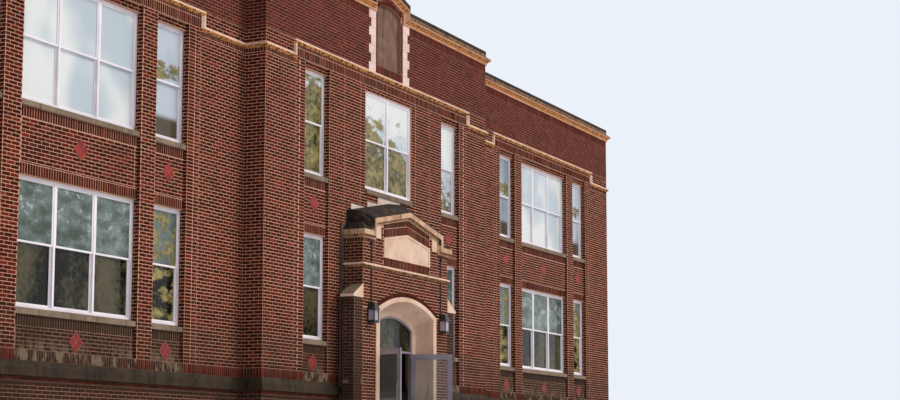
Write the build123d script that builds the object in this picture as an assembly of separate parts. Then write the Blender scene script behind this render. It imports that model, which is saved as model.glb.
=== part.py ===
from build123d import *
import os
from math import cos, radians, sin

# An elementary school of red brick: a basement and two storeys, with a centre block that stands
# forward of its two wings, and a gabled porch with an arched doorway in the middle.
# Millimetres. X runs along the front, Y from front to back, Z up from the ground.
# The origin is on the ground at the middle of the plan.

# Plan
depth = 16200
wall = 330
wing_setback = 520
centre_plain_wall = 1605
centre_pier = 1645
inner_plain_wall = 2040
outer_plain_wall = 1880

# Storeys
ground_slab_top = 160
water_table_foot = 1200
water_table_height = 260
water_table_slope = 105
water_table_proud = 55
storey_height = 3660
slab = 200

# Bays and windows
narrow_width = 1060
double_width = 2300
triple_width = 3420
pier_width = 460
bay_recess = 70
soldier_course = 203
brick_over_window = 140
sill_over_floor = 940
sill_height = 130
sill_proud = 45
window_height = 2310
frame_setback = 150
frame_depth = 100
flush_setback = 35
frame_face = 45
mullion_face = 52
sash_face = 36
sash_depth = 38
glass_thickness = 8

# Tile diamonds on the spandrels
tile_half_diagonal = 200
tile_proud = 12
lower_tile_over_table = 410
upper_tile_under_sill = 670

# String course
string_over_window = 85
string_step = 325
string_height = 110
string_proud = 60
string_top_slope = 18
string_margin = 400

# Parapets
wing_parapet_over_string = 1600
centre_parapet_rise = 270
roof_under_parapet = 680
cornice_foot = 270
cornice_crown = 120
cornice_proud = 120
cornice_fascia = 35
cornice_fascia_height = 50
cornice_bend = 0.6
cornice_lip = 28
coping_height = 125
coping_lip = 15
coping_wash_head = 30
coping_riser_proud = 15
coping_edge_slope = 12
coping_inner = 45

# Niche and its stepped gable
niche_half = 580
niche_over_string = 320
niche_rise = 140
niche_depth = 100
niche_panel_thickness = 30
gable_half = 960
gable_shoulder_rise = 200
gable_apex_rise = 490
quoin_inner = 685
quoin_narrow = 230
quoin_wide = 330
quoin_count = 7
quoin_proud = 12

# Entrance doors
door_height = 2140
door_frame_face = 50
door_frame_depth = 80
door_frame_setback = 20
transom_height = 50
fanlight_height = 490
leaf_thickness = 45
leaf_gap = 6
leaf_over_floor = 8
leaf_stile = 115
leaf_top_rail = 130
leaf_bottom_rail = 260
door_opening_angle = 110
hinge_margin = 240
knuckle_radius = 11
knuckle_length = 80
knuckle_gap = 0.4
pivot_proud = 12
closer_length = 280
closer_height = 60
closer_depth = 45
closer_under_head = 35
pull_height = 950
pull_length = 400
pull_radius = 12
pull_reach = 45
push_bar_height = 970
push_bar_face = 40
push_bar_depth = 25
push_bar_reach = 40
push_bar_mount = 50

# Arch surround
door_arch_half = 1050
door_arch_rise = 300
splay_half = 1270
splay_rise = 330
splay_lift = 80
splay_plane = 107
arch_half = 1350
arch_rise = 330
arch_lift = 210
trim_half = 1510
trim_rise = 380
trim_lift = 50
trim_proud = 20

# Porch
porch_half = 2120
porch_depth = 500
porch_string_over_arch = 530
porch_wall_over_string = 670
porch_gable_half = 1560
porch_shoulder_rise = 320
porch_apex_rise = 640
porch_coping_proud = 95
porch_coping_ledge = 28
porch_coping_edge = 180
porch_coping_ridge = 370
porch_coping_height = 430
porch_ridge_in = 120
flashing_halves = (1810, 1050, 550)
flashing_tops = (520, 670, 850)
flashing_thickness = 12
kneeler_width = 270
kneeler_height = 270
kneeler_proud = 12
kneeler_depth = 200
buttress_width = 385
buttress_depth = 300
buttress_height = 3385
buttress_cap_rise = 330
buttress_cap_edge = 55
buttress_cap_proud = 65
buttress_cap_front = 20
name_stone_half = 1160
name_stone_over_string = 310
name_stone_side = 450
name_stone_apex = 650
name_stone_proud = 25
name_stone_rim = 55
name_stone_sunk = 12

# Entrance hall and step
hall_half = 2400
hall_depth = 4200
step_proud = 330
step_height = 75

# Lanterns and downspouts
lantern_offset = 1790
lantern_foot = 2840
lantern_width = 230
lantern_depth = 185
lantern_base = 55
lantern_glass_height = 235
lantern_hood = 175
lantern_hood_proud = 18
lantern_hood_top = 0.45
lantern_post = 18
lantern_back = 22
conduit_radius = 16
conduit_sides = 8
conduit_aside = 45
junction_box = 70
junction_box_depth = 50
junction_box_height = 420
downspout_gap = 115
downspout_width = 62
downspout_depth = 48
downspout_over_coping = 340
strap_proud = 14
strap_height = 40

# Lines that follow from the sizes above
front = -depth / 2
back = depth / 2
wing_front = front + wing_setback
porch_front = front - porch_depth
narrow_offset = triple_width / 2 + pier_width + narrow_width / 2
group_half = narrow_offset + narrow_width / 2
centre_bay_offset = double_width / 2 + centre_pier + narrow_width / 2
centre_group_half = centre_bay_offset + narrow_width / 2
centre_half = centre_group_half + centre_plain_wall
wing_middle = centre_half + inner_plain_wall + group_half
half_length = wing_middle + group_half + outer_plain_wall
wing_string_half = group_half + string_margin
centre_string_half = centre_group_half + string_margin

water_table_top = water_table_foot + water_table_height
first_floor_level = water_table_top
sill_levels = (first_floor_level + sill_over_floor, first_floor_level + sill_over_floor + storey_height)
window_top = sill_levels[1] + window_height
bay_foot = water_table_top + soldier_course
bay_head = window_top + brick_over_window
string_low = window_top + string_over_window
string_high = string_low + string_step
wing_parapet = string_high + wing_parapet_over_string
roof_level = wing_parapet - roof_under_parapet
centre_parapet = wing_parapet + centre_parapet_rise
gable_shoulder = centre_parapet + gable_shoulder_rise
gable_apex = centre_parapet + gable_apex_rise
niche_foot = string_high + niche_over_string
niche_spring = centre_parapet - niche_rise
tile_heights = (water_table_top + lower_tile_over_table, sill_levels[1] - upper_tile_under_sill)

transom_foot = ground_slab_top + door_height
door_arch_spring = transom_foot + transom_height + fanlight_height
splay_spring = door_arch_spring + splay_lift
arch_spring = splay_spring + arch_lift
trim_spring = arch_spring + trim_lift
porch_string_foot = trim_spring + trim_rise + porch_string_over_arch
porch_top = porch_string_foot + porch_wall_over_string
porch_shoulder = porch_top + porch_shoulder_rise
porch_apex = porch_top + porch_apex_rise
pipe_edge = porch_half + downspout_gap + downspout_width + strap_proud
door_face = front - splay_plane + door_frame_setback
door_inner = door_arch_half - door_frame_face
leaf_foot = ground_slab_top + leaf_over_floor
leaf_head = transom_foot - leaf_gap
leaf_width = door_inner - 2 * leaf_gap
hinge_heights = (leaf_foot + hinge_margin, (leaf_foot + leaf_head) / 2, leaf_head - hinge_margin)


def block(x0, x1, y0, y1, z0, z1):
    """A box between two corners."""
    size = Box(x1 - x0, y1 - y0, z1 - z0)
    return Pos((x0 + x1) / 2, (y0 + y1) / 2, (z0 + z1) / 2) * size


def upright(points, y0, y1):
    """An outline in the X, Z plane, carried from y0 to y1."""
    outline = make_face(Polyline(*[(x, 0, z) for x, z in points], close=True))
    return Pos(0, y0, 0) * extrude(outline, amount=y1 - y0, dir=(0, 1, 0))


def plan(points, z0, z1):
    """An outline in plan, carried from z0 to z1."""
    outline = make_face(Polyline(*[(x, y, 0) for x, y in points], close=True))
    return Pos(0, 0, z0) * extrude(outline, amount=z1 - z0, dir=(0, 0, 1))


def arch_face(half, foot, spring, rise, y):
    """An upright opening with a segmental head, in the plane at y."""
    sides = Polyline((-half, y, spring), (-half, y, foot), (half, y, foot), (half, y, spring))
    head = ThreePointArc((half, y, spring), (0, y, spring + rise), (-half, y, spring))
    return make_face(Curve() + [sides, head])


def arch_block(half, foot, spring, rise, y0, y1):
    """An arched opening as a solid from y0 to y1."""
    return extrude(arch_face(half, foot, spring, rise, y0), amount=y1 - y0, dir=(0, 1, 0))


def moulding(path_points, section, start_out):
    """A stone section swept along a path, mitred at each turn.

    The section is drawn flat, with X as how far it stands out and Y as up. start_out is the
    direction that its X points in where the path starts.
    """
    path = Polyline(*path_points)
    out = Vector(*start_out)
    plane = Plane(origin=path @ 0, x_dir=out, z_dir=out.cross(Vector(0, 0, 1)))
    return sweep(plane * section, path=Wire(path.edges()), transition=Transition.RIGHT)


def section_of(points):
    """A flat section with straight sides."""
    return make_face(Polyline(*points, close=True))


# Facades: where each stretch of windows has its middle on the outer wall face, and how it is turned.
def facade(x, y, turn):
    return Pos(x, y, 0) * Rot(0, 0, turn)


wing_left = facade(-wing_middle, wing_front, 0)
wing_right = facade(wing_middle, wing_front, 0)
centre = facade(0, front, 0)
end_middle = (wing_front + back) / 2
end_left = facade(-half_length, end_middle, -90)
end_right = facade(half_length, end_middle, 90)
rear_left = facade(wing_middle, back, 180)
rear_centre = facade(0, back, 180)
rear_right = facade(-wing_middle, back, 180)
wing_bays = ((-narrow_offset, "narrow"), (0, "triple"), (narrow_offset, "narrow"))
centre_bays = ((-centre_bay_offset, "narrow"), (0, "double"), (centre_bay_offset, "narrow"))
window_widths = {
    "narrow": narrow_width,
    "double": double_width,
    "flush": double_width,
    "triple": triple_width,
}
outer_part = half_length - wing_middle
inner_part = wing_middle - centre_half
end_half = (back - wing_front) / 2 - wall


def window_hole(offset, kind, level):
    """The hole for one window and its sill, through the wall."""
    half = window_widths[kind] / 2
    return block(offset - half, offset + half, 0, wall, level - sill_height, level + window_height)


def bay_slot(offset, kind):
    """The upright slot in a wall that one bay's windows and brick panels fill."""
    half = window_widths[kind] / 2
    return block(offset - half, offset + half, 0, wall, bay_foot, bay_head)


def bay_wall(left, right, top, bays):
    """A brick wall with an upright slot for each bay."""
    panel = block(-left, right, 0, wall, water_table_top, top)
    for offset, kind in bays:
        panel -= bay_slot(offset, kind)
    return panel


def parapet_wall(left, right):
    """The plain brick of a wing's front over its bays, up to the coping."""
    return block(-left, right, 0, wall, bay_head, wing_parapet)


def bay_panels(side, bays):
    """The brick of each bay, a little behind the wall's face.

    One panel stands under the lower sill, one between the storeys, and one over the upper window.
    """
    heights = (
        (bay_foot, sill_levels[0] - sill_height),
        (sill_levels[0] + window_height, sill_levels[1] - sill_height),
        (window_top, bay_head),
    )
    panels = []
    for offset, kind in bays:
        half = window_widths[kind] / 2
        for foot, head in heights:
            panels.append(side * block(offset - half, offset + half, bay_recess, wall, foot, head))
    return panels


def light_edges(kind):
    """Where each light of a window starts and ends, between the jambs and mullions."""
    width = window_widths[kind]
    count = {"narrow": 1, "double": 2, "flush": 2, "triple": 3}[kind]
    light = (width - 2 * frame_face - (count - 1) * mullion_face) / count
    starts = [-width / 2 + frame_face + number * (light + mullion_face) for number in range(count)]
    return [(start, start + light) for start in starts]


def setback(kind):
    """How far a frame stands behind the wall's face. The flush window is in no bay."""
    return flush_setback if kind == "flush" else frame_setback


def window_frame(kind):
    """A wooden frame with a pair of sashes to each light, its sill line on z = 0.

    The upper sash lies near the frame's face and the lower one behind it, so each light is cut
    in two depths, and the panes go through.
    """
    half = window_widths[kind] / 2
    face = setback(kind)
    back_of_frame = face + frame_depth
    frame = block(-half, half, face, back_of_frame, 0, window_height)
    middle = window_height / 2
    meeting = sash_face / 2
    upper_face = face + frame_depth / 2 - sash_depth
    lower_face = face + frame_depth / 2
    for x0, x1 in light_edges(kind):
        frame -= block(x0, x1, face, upper_face, middle - meeting, window_height - frame_face)
        frame -= block(x0, x1, face, lower_face, frame_face, middle - meeting)
        for z0, z1 in pane_heights():
            frame -= block(x0 + sash_face, x1 - sash_face, face, back_of_frame, z0, z1)
    return frame


def pane_heights():
    """The foot and head of the lower and of the upper pane."""
    middle = window_height / 2
    meeting = sash_face / 2
    margin = frame_face + sash_face
    return [(margin, middle - meeting), (middle + meeting, window_height - margin)]


def window_panes(kind):
    """The panes of one window, each in the middle of its sash."""
    lower = setback(kind) + frame_depth / 2 + (sash_depth - glass_thickness) / 2
    faces = (lower, lower - sash_depth)
    panes = []
    for x0, x1 in light_edges(kind):
        for (z0, z1), y in zip(pane_heights(), faces):
            panes.append(block(x0 + sash_face, x1 - sash_face, y, y + glass_thickness, z0, z1))
    return panes


def window_sill(kind):
    """A stone sill with a weathered top, under the frame and a little proud of the spandrel."""
    width = window_widths[kind]
    recess = 0 if kind == "flush" else bay_recess
    nose = recess - sill_proud
    section = [
        (nose, -sill_height),
        (wall, -sill_height),
        (wall, 0),
        (setback(kind), 0),
        (nose, -sill_height / 4),
    ]
    outline = make_face(Polyline(*[(0, y, z) for y, z in section], close=True))
    return Pos(-width / 2, 0, 0) * extrude(outline, amount=width, dir=(1, 0, 0))


def spandrel_tile():
    """A square tile set on its corner, on the spandrel's face."""
    corner = tile_half_diagonal
    face = [(-corner, 0), (0, -corner), (corner, 0), (0, corner)]
    return upright(face, bay_recess - tile_proud, bay_recess)


def place_windows(side, bays, levels=sill_levels):
    """Where each window of a facade goes, with its kind."""
    return [(side * Pos(offset, 0, level), kind) for offset, kind in bays for level in levels]


front_windows = place_windows(wing_left, wing_bays) + place_windows(wing_right, wing_bays)
front_windows += place_windows(centre, centre_bays[::2])
front_windows += place_windows(centre, [(0, "flush")], sill_levels[1:])
other_windows = place_windows(end_left, wing_bays) + place_windows(end_right, wing_bays)
other_windows += place_windows(rear_left, wing_bays) + place_windows(rear_right, wing_bays)
other_windows += place_windows(rear_centre, centre_bays)


def all_frames(windows):
    frames = {kind: window_frame(kind) for kind in window_widths}
    return [spot * frames[kind] for spot, kind in windows]


def all_panes(windows):
    return [spot * pane for spot, kind in windows for pane in window_panes(kind)]


def all_sills():
    return [spot * window_sill(kind) for spot, kind in front_windows + other_windows]


front_bays = [(wing_left, wing_bays), (wing_right, wing_bays), (centre, centre_bays[::2])]
other_bays = [(end_left, wing_bays), (end_right, wing_bays)]
other_bays += [(rear_left, wing_bays), (rear_right, wing_bays), (rear_centre, centre_bays)]


def all_panels(sides):
    return [panel for side, bays in sides for panel in bay_panels(side, bays)]


def all_tiles():
    """A tile on each panel under the lower windows and between the storeys."""
    tiles = []
    for side, bays in front_bays + other_bays:
        for offset, _ in bays:
            tiles += [side * Pos(offset, 0, height) * spandrel_tile() for height in tile_heights]
    return tiles


# Floors and roof
def room_outline():
    """The inside of the walls in plan, with the centre block's forward part."""
    side = half_length - wall
    forward = centre_half - wall
    return [
        (-side, wing_front + wall),
        (-forward, wing_front + wall),
        (-forward, front + wall),
        (forward, front + wall),
        (forward, wing_front + wall),
        (side, wing_front + wall),
        (side, back - wall),
        (-side, back - wall),
    ]


def floor_slab(top):
    return plan(room_outline(), top - slab, top)


def ground_slab():
    return plan(room_outline(), 0, ground_slab_top)


def first_floor():
    """The floor of the lower storey, open over the entrance hall."""
    hall = block(-hall_half, hall_half, front, front + wall + hall_depth, 0, first_floor_level)
    return floor_slab(first_floor_level) - hall


# Walls under the water table
def basement_front():
    """The front's brick base, left and right of the porch doorway, with the forward block's corners."""
    pieces = []
    for side in (-1, 1):
        outline = [
            (side * half_length, wing_front),
            (side * centre_half, wing_front),
            (side * centre_half, front),
            (side * trim_half, front),
            (side * trim_half, front + wall),
            (side * (centre_half - wall), front + wall),
            (side * (centre_half - wall), wing_front + wall),
            (side * half_length, wing_front + wall),
        ]
        pieces.append(plan(outline, 0, water_table_foot))
    return pieces


def basement_back():
    """The base of the two ends and the rear, as one wall."""
    whole = block(-half_length, half_length, wing_front + wall, back, 0, water_table_foot)
    side = half_length - wall
    return whole - block(-side, side, wing_front + wall, back - wall, 0, water_table_foot)


def water_table():
    """A weathered stone band on the base, round the whole building but for the porch."""
    proud = water_table_proud
    height = water_table_height
    edge = height - water_table_slope
    section = section_of([(-wall, 0), (proud, 0), (proud, edge), (0, height), (-wall, height)])
    path = [
        (-pipe_edge, front, water_table_foot),
        (-centre_half, front, water_table_foot),
        (-centre_half, wing_front, water_table_foot),
        (-half_length, wing_front, water_table_foot),
        (-half_length, back, water_table_foot),
        (half_length, back, water_table_foot),
        (half_length, wing_front, water_table_foot),
        (centre_half, wing_front, water_table_foot),
        (centre_half, front, water_table_foot),
        (pipe_edge, front, water_table_foot),
    ]
    return moulding(path, section, (0, -1, 0))


# Walls of the storeys
def centre_wall_side(side):
    """The centre block's front beside the doorway, with its return to the wing."""
    inner = trim_half
    low, high = sorted((side * inner, side * centre_half))
    panel = block(low, high, 0, wall, water_table_top, centre_parapet)
    start = side * (centre_half - wall)
    low, high = sorted((start, side * centre_half))
    panel += block(low, high, wall, wing_setback + wall, water_table_top, centre_parapet)
    low, high = sorted((side * inner, side * pipe_edge))
    panel += block(low, high, 0, wall, water_table_foot, water_table_top)
    return centre * (panel - bay_slot(side * centre_bay_offset, "narrow"))


def centre_wall_over():
    """The wall over the doorway, with the double window, the niche and the stepped gable on top."""
    outline = [
        (-trim_half, trim_spring + trim_rise),
        (trim_half, trim_spring + trim_rise),
        (trim_half, centre_parapet),
        (gable_half, centre_parapet),
        (gable_half, gable_shoulder),
        (0, gable_apex),
        (-gable_half, gable_shoulder),
        (-gable_half, centre_parapet),
        (-trim_half, centre_parapet),
    ]
    panel = upright(outline, 0, wall)
    panel -= window_hole(0, "double", sill_levels[1])
    panel -= arch_block(niche_half, niche_foot, niche_spring, niche_rise, 0, niche_depth)
    return centre * panel


def niche_panel():
    """The smooth rendered back of the niche."""
    y = niche_depth - niche_panel_thickness
    return centre * arch_block(niche_half, niche_foot, niche_spring, niche_rise, y, niche_depth)


def niche_quoins():
    """Blocks of stone, wide and narrow by turns, up each side of the niche."""
    quoin_foot = string_high + string_height
    rise = (centre_parapet - cornice_foot - quoin_foot) / quoin_count
    stacks = []
    for side in (-1, 1):
        stack = None
        for number in range(quoin_count):
            width = quoin_wide if number % 2 == 0 else quoin_narrow
            low, high = sorted((side * quoin_inner, side * (quoin_inner + width)))
            foot = quoin_foot + number * rise
            stone = block(low, high, -quoin_proud, 0, foot, foot + rise)
            stack = stone if stack is None else stack + stone
        stacks.append(centre * stack)
    return stacks


def stepped_gable(run, half, foot, shoulder, apex, y):
    """A line along a wall's top that steps up at half and rises to a low point in the middle."""
    return [
        (-run, y, foot),
        (-half, y, foot),
        (-half, y, shoulder),
        (0, y, apex),
        (half, y, shoulder),
        (half, y, foot),
        (run, y, foot),
    ]


def hollow(out, foot, reach):
    """A quarter-round hollow that swings out from the foot to the face at out."""
    return CenterArc((out, foot), reach, 180, -90)


def cornice_section():
    """A stone band under the coping: a fascia, a hollow and a lip."""
    start = (cornice_fascia, -cornice_foot + cornice_fascia_height)
    end = (cornice_proud, -cornice_crown - cornice_lip)
    bend = ((start[0] + end[0]) / 2, start[1] + (end[1] - start[1]) * cornice_bend)
    above = [end, (cornice_proud, -cornice_crown), (0, -cornice_crown)]
    below = [(0, -cornice_foot), (cornice_fascia, -cornice_foot), start]
    return make_face(Curve() + [ThreePointArc(start, bend, end), Polyline(*above, *below)])


def coping_section(depth_back):
    """A coping stone whose wash runs down over the cornice, with an upright face over it."""
    return section_of([
        (-depth_back, 0),
        (0, 0),
        (0, -cornice_crown),
        (cornice_proud, -cornice_crown),
        (cornice_proud, -cornice_crown + coping_lip),
        (coping_riser_proud, -coping_wash_head),
        (coping_riser_proud, coping_height - coping_edge_slope),
        (-depth_back, coping_height),
    ])


def wing_path(start, z):
    """A line round the wings and the rear at height z, from start on one side of the centre block."""
    return [
        (-start, wing_front, z),
        (-half_length, wing_front, z),
        (-half_length, back, z),
        (half_length, back, z),
        (half_length, wing_front, z),
        (start, wing_front, z),
    ]


def cornice_wings():
    return moulding(wing_path(centre_half, wing_parapet), cornice_section(), (0, -1, 0))


def coping_wings():
    """The wings' coping stones, cut to fit under the cornice on the centre block's returns."""
    path = wing_path(centre_half, wing_parapet)
    return moulding(path, coping_section(wall + coping_inner), (0, -1, 0)) - cornice_centre()


def centre_path():
    """The parapet's line on the centre block, from one return to the other."""
    line = stepped_gable(centre_half, gable_half, centre_parapet, gable_shoulder, gable_apex, front)
    back_of_return = wing_front + wall
    start = (-centre_half, back_of_return, centre_parapet)
    return [start] + line + [(centre_half, back_of_return, centre_parapet)]


def cornice_centre():
    return moulding(centre_path(), cornice_section(), (-1, 0, 0))


def coping_centre():
    return moulding(centre_path(), coping_section(wall), (-1, 0, 0))


def string_section():
    """A stone string: a splay below, a fillet and a weathered top."""
    ledge = string_proud / 4
    edge = string_height - string_top_slope
    below = [(0, 0), (ledge, 0), (string_proud, string_proud - ledge)]
    return section_of(below + [(string_proud, edge), (0, string_height)])


def raised_line(side, half):
    """The four corners where the string steps up over a facade's windows and down again."""
    corners = [(half, string_low), (half, string_high), (-half, string_high), (-half, string_low)]
    return [(side * Pos(x, 0, z)).position for x, z in corners]


def string_course():
    """The string in three lengths: round wings, ends and rear, across the centre, and on the porch."""
    start = centre_half + string_proud
    around = [(-start, wing_front, string_low)] + raised_line(wing_left, wing_string_half)
    around += [(-half_length, wing_front, string_low)] + raised_line(end_left, wing_string_half)
    around += [(-half_length, back, string_low)] + raised_line(rear_right, wing_string_half)
    around += raised_line(rear_centre, centre_string_half)
    around += raised_line(rear_left, wing_string_half)
    around += [(half_length, back, string_low)] + raised_line(end_right, wing_string_half)
    around += [(half_length, wing_front, string_low)] + raised_line(wing_right, wing_string_half)
    around += [(start, wing_front, string_low)]
    across = [(-centre_half, wing_front, string_low), (-centre_half, front, string_low)]
    across += raised_line(centre, centre_string_half)[::-1]
    across += [(centre_half, front, string_low), (centre_half, wing_front, string_low)]
    porch = [
        (-porch_half, front, porch_string_foot),
        (-porch_half, porch_front, porch_string_foot),
        (porch_half, porch_front, porch_string_foot),
        (porch_half, front, porch_string_foot),
    ]
    return [
        moulding(around, string_section(), (0, -1, 0)),
        moulding(across, string_section(), (-1, 0, 0)),
        moulding(porch, string_section(), (-1, 0, 0)),
    ]


# Porch
def porch_piers():
    """The brick either side of the porch arch, with its buttress."""
    piers = []
    for side in (-1, 1):
        low, high = sorted((side * trim_half, side * porch_half))
        pier = block(low, high, porch_front, front, 0, trim_spring)
        low, high = sorted((side * porch_half, side * (porch_half + buttress_width)))
        pier += block(low, high, porch_front, porch_front + buttress_depth, 0, buttress_height)
        piers.append(pier)
    return piers


def porch_gable_wall():
    """The brick over the arch, up to the coping."""
    outline = [
        (-porch_half, trim_spring),
        (porch_half, trim_spring),
        (porch_half, porch_top),
        (porch_gable_half, porch_top),
        (porch_gable_half, porch_shoulder),
        (0, porch_apex),
        (-porch_gable_half, porch_shoulder),
        (-porch_gable_half, porch_top),
        (-porch_half, porch_top),
    ]
    body = upright(outline, porch_front, front)
    for kneeler in porch_kneelers():
        body -= kneeler
    foot = trim_spring - trim_rise
    return body - arch_block(trim_half, foot, trim_spring, trim_rise, porch_front, front)


def porch_kneelers():
    """The dressed stone in each shoulder of the gable, under the raised coping."""
    slope = (porch_apex - porch_shoulder) / porch_gable_half
    foot = porch_shoulder - kneeler_height
    stones = []
    for side in (-1, 1):
        outer = side * porch_gable_half
        inner = side * (porch_gable_half - kneeler_width)
        head = porch_shoulder + kneeler_width * slope
        outline = [(outer, foot), (inner, foot), (inner, head), (outer, porch_shoulder)]
        stones.append(upright(outline, porch_front - kneeler_proud, porch_front + kneeler_depth))
    return stones


def arch_surround():
    """The stone lining of the porch arch: a flat trim, a splayed reveal and the band round the doors."""
    face = porch_front - trim_proud
    stone = arch_block(trim_half, ground_slab_top, trim_spring, trim_rise, face, front)
    splay_back = front - splay_plane
    mouth = arch_face(arch_half, ground_slab_top, arch_spring, arch_rise, face)
    throat = arch_face(splay_half, ground_slab_top, splay_spring, splay_rise, splay_back)
    stone -= loft([mouth, throat])
    stone -= arch_block(door_arch_half, ground_slab_top, door_arch_spring, door_arch_rise, splay_back, front)
    return stone


def name_stone():
    """A pointed slab with a raised rim, its field left bare."""
    foot = porch_string_foot + name_stone_over_string
    slope = (name_stone_apex - name_stone_side) / name_stone_half

    def pointed(rim):
        half = name_stone_half - rim
        shoulder = foot + name_stone_side + rim * slope - rim
        apex = foot + name_stone_apex - rim
        return [(-half, foot + rim), (half, foot + rim), (half, shoulder), (0, apex), (-half, shoulder)]

    face = porch_front - name_stone_proud
    field = upright(pointed(name_stone_rim), face, face + name_stone_sunk)
    return upright(pointed(0), face, porch_front) - field


def porch_line(run):
    """The foot of the porch's coping, from -run to run."""
    return stepped_gable(run, porch_gable_half, porch_top, porch_shoulder, porch_apex, porch_front)


def porch_coping():
    """The porch's coping, which steps up at the shoulders and meets in a low gable.

    A moulding with a steep wash goes round the front and both sides, and a block behind it
    rises a little more to the wall.
    """
    proud = porch_coping_proud
    reach = proud - porch_coping_ledge
    curve = hollow(proud, 0, reach)
    ridge = (-porch_ridge_in, porch_coping_ridge)
    sides = Polyline(
        (proud, reach), (proud, porch_coping_edge), ridge, (-porch_ridge_in, 0), (porch_coping_ledge, 0)
    )
    front_line = [(-porch_half, front, porch_top)] + porch_line(porch_half) + [(porch_half, front, porch_top)]
    moulded = moulding(front_line, make_face(Curve() + [curve, sides]), (-1, 0, 0))
    behind = section_of([(-porch_depth, 0), (-porch_ridge_in, 0), ridge, (-porch_depth, porch_coping_height)])
    return moulded + moulding(porch_line(porch_half - porch_ridge_in), behind, (0, -1, 0))


def porch_flashing():
    """Stepped metal plates on the wall, over the line where the porch's coping meets it."""
    plates = None
    for half, top in zip(flashing_halves, flashing_tops):
        y0 = front - flashing_thickness
        plate = block(-half, half, y0, front, porch_shoulder, porch_shoulder + top)
        plates = plate if plates is None else plates + plate
    return plates - porch_coping() - porch_gable_wall()


def buttress_caps():
    """A sloped weathering stone on each buttress."""
    caps = []
    for side in (-1, 1):
        outer = side * (porch_half + buttress_width + buttress_cap_proud)
        inner = side * porch_half
        outline = [
            (inner, buttress_height),
            (outer, buttress_height),
            (outer, buttress_height + buttress_cap_edge),
            (inner, buttress_height + buttress_cap_rise),
        ]
        y0 = porch_front - buttress_cap_front
        y1 = porch_front + buttress_depth + buttress_cap_front
        caps.append(upright(outline, y0, y1))
    return caps


# Doors
def door_frame():
    """The metal frame: two jambs, an arched head and a transom, with the fixed half of each hinge."""
    y0 = door_face
    y1 = y0 + door_frame_depth
    frame = arch_block(door_arch_half, ground_slab_top, door_arch_spring, door_arch_rise, y0, y1)
    head = door_arch_rise - door_frame_face
    frame -= arch_block(door_inner, ground_slab_top, door_arch_spring, head, y0, y1)
    frame += block(-door_inner, door_inner, y0, y1, transom_foot, transom_foot + transom_height)
    for side in (-1, 1):
        for height in hinge_heights:
            z1 = height - knuckle_gap / 2
            z0 = z1 - knuckle_length
            frame += Pos(side * door_inner, y0 - pivot_proud, (z0 + z1) / 2) * Cylinder(
                knuckle_radius, knuckle_length
            )
            low, high = sorted((side * door_inner, side * (door_inner + knuckle_radius)))
            frame += block(low, high, y0 - pivot_proud, y0, z0, z1)
    return frame


def fanlight_glass():
    """The pane over the transom."""
    y = door_face + (door_frame_depth - glass_thickness) / 2
    foot = transom_foot + transom_height
    head = door_arch_rise - door_frame_face
    return arch_block(door_inner, foot, door_arch_spring, head, y, y + glass_thickness)


def pane_edges():
    """The left, right, foot and head of a leaf's pane."""
    x0 = leaf_gap + leaf_stile
    x1 = leaf_gap + leaf_width - leaf_stile
    return x0, x1, leaf_foot + leaf_bottom_rail, leaf_head - leaf_top_rail


def closed_leaf():
    """The left leaf shut, with its hinge line on the origin and its outer face towards -Y."""
    y0 = pivot_proud
    y1 = y0 + leaf_thickness
    x0, x1, z0, z1 = pane_edges()
    leaf = block(leaf_gap, leaf_gap + leaf_width, y0, y1, leaf_foot, leaf_head)
    leaf -= block(x0, x1, y0, y1, z0, z1)
    for height in hinge_heights:
        foot = height + knuckle_gap / 2
        head = foot + knuckle_length
        leaf += Pos(0, 0, (foot + head) / 2) * Cylinder(knuckle_radius, knuckle_length)
        leaf += block(0, 2 * leaf_gap, 0, y0 + 2, foot, head)
    free_stile = x1 + leaf_stile / 2
    return leaf + closer(x0, y1) + pull_handle(free_stile, y0) + push_bar(x0, x1, y1)


def closer(x, y):
    """The box of the door closer, inside at the head."""
    top = leaf_head - closer_under_head
    return block(x, x + closer_length, y, y + closer_depth, top - closer_height, top)


def pull_handle(x, y):
    """A round pull on two feet, outside on the free stile."""
    foot = ground_slab_top + pull_height
    head = foot + pull_length
    handle = Pos(x, y - pull_reach, (foot + head) / 2) * Cylinder(pull_radius, pull_length)
    for z in (foot + 2 * pull_radius, head - 4 * pull_radius):
        handle += block(x - pull_radius, x + pull_radius, y - pull_reach, y, z, z + 2 * pull_radius)
    return handle


def push_bar(x0, x1, y):
    """A push bar across the leaf, inside, between two mounts."""
    foot = ground_slab_top + push_bar_height
    head = foot + push_bar_face
    reach = y + push_bar_reach + push_bar_depth
    bar = block(x0, x1, y + push_bar_reach, reach, foot, head)
    for x in (x0 - push_bar_mount, x1):
        bar += block(x, x + push_bar_mount, y, reach, foot, head)
    return bar


def closed_pane():
    """The leaf's pane."""
    x0, x1, z0, z1 = pane_edges()
    y = pivot_proud + (leaf_thickness - glass_thickness) / 2
    return block(x0, x1, y, y + glass_thickness, z0, z1)


def hang(piece, side):
    """Hang a shut left leaf at its jamb, mirror it for the right, and swing it open."""
    opened = Pos(-door_inner, door_face - pivot_proud, 0) * Rot(0, 0, -door_opening_angle) * piece
    return opened if side < 0 else mirror(opened, about=Plane.YZ)


# Step, lanterns and downspouts
def entrance_step():
    """The stone sill under the doors and one step in front of the porch."""
    face = porch_front - trim_proud
    sill = block(-trim_half, trim_half, face, front + wall, 0, ground_slab_top)
    return sill + block(-trim_half, trim_half, porch_front - step_proud, face, 0, step_height)


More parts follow.
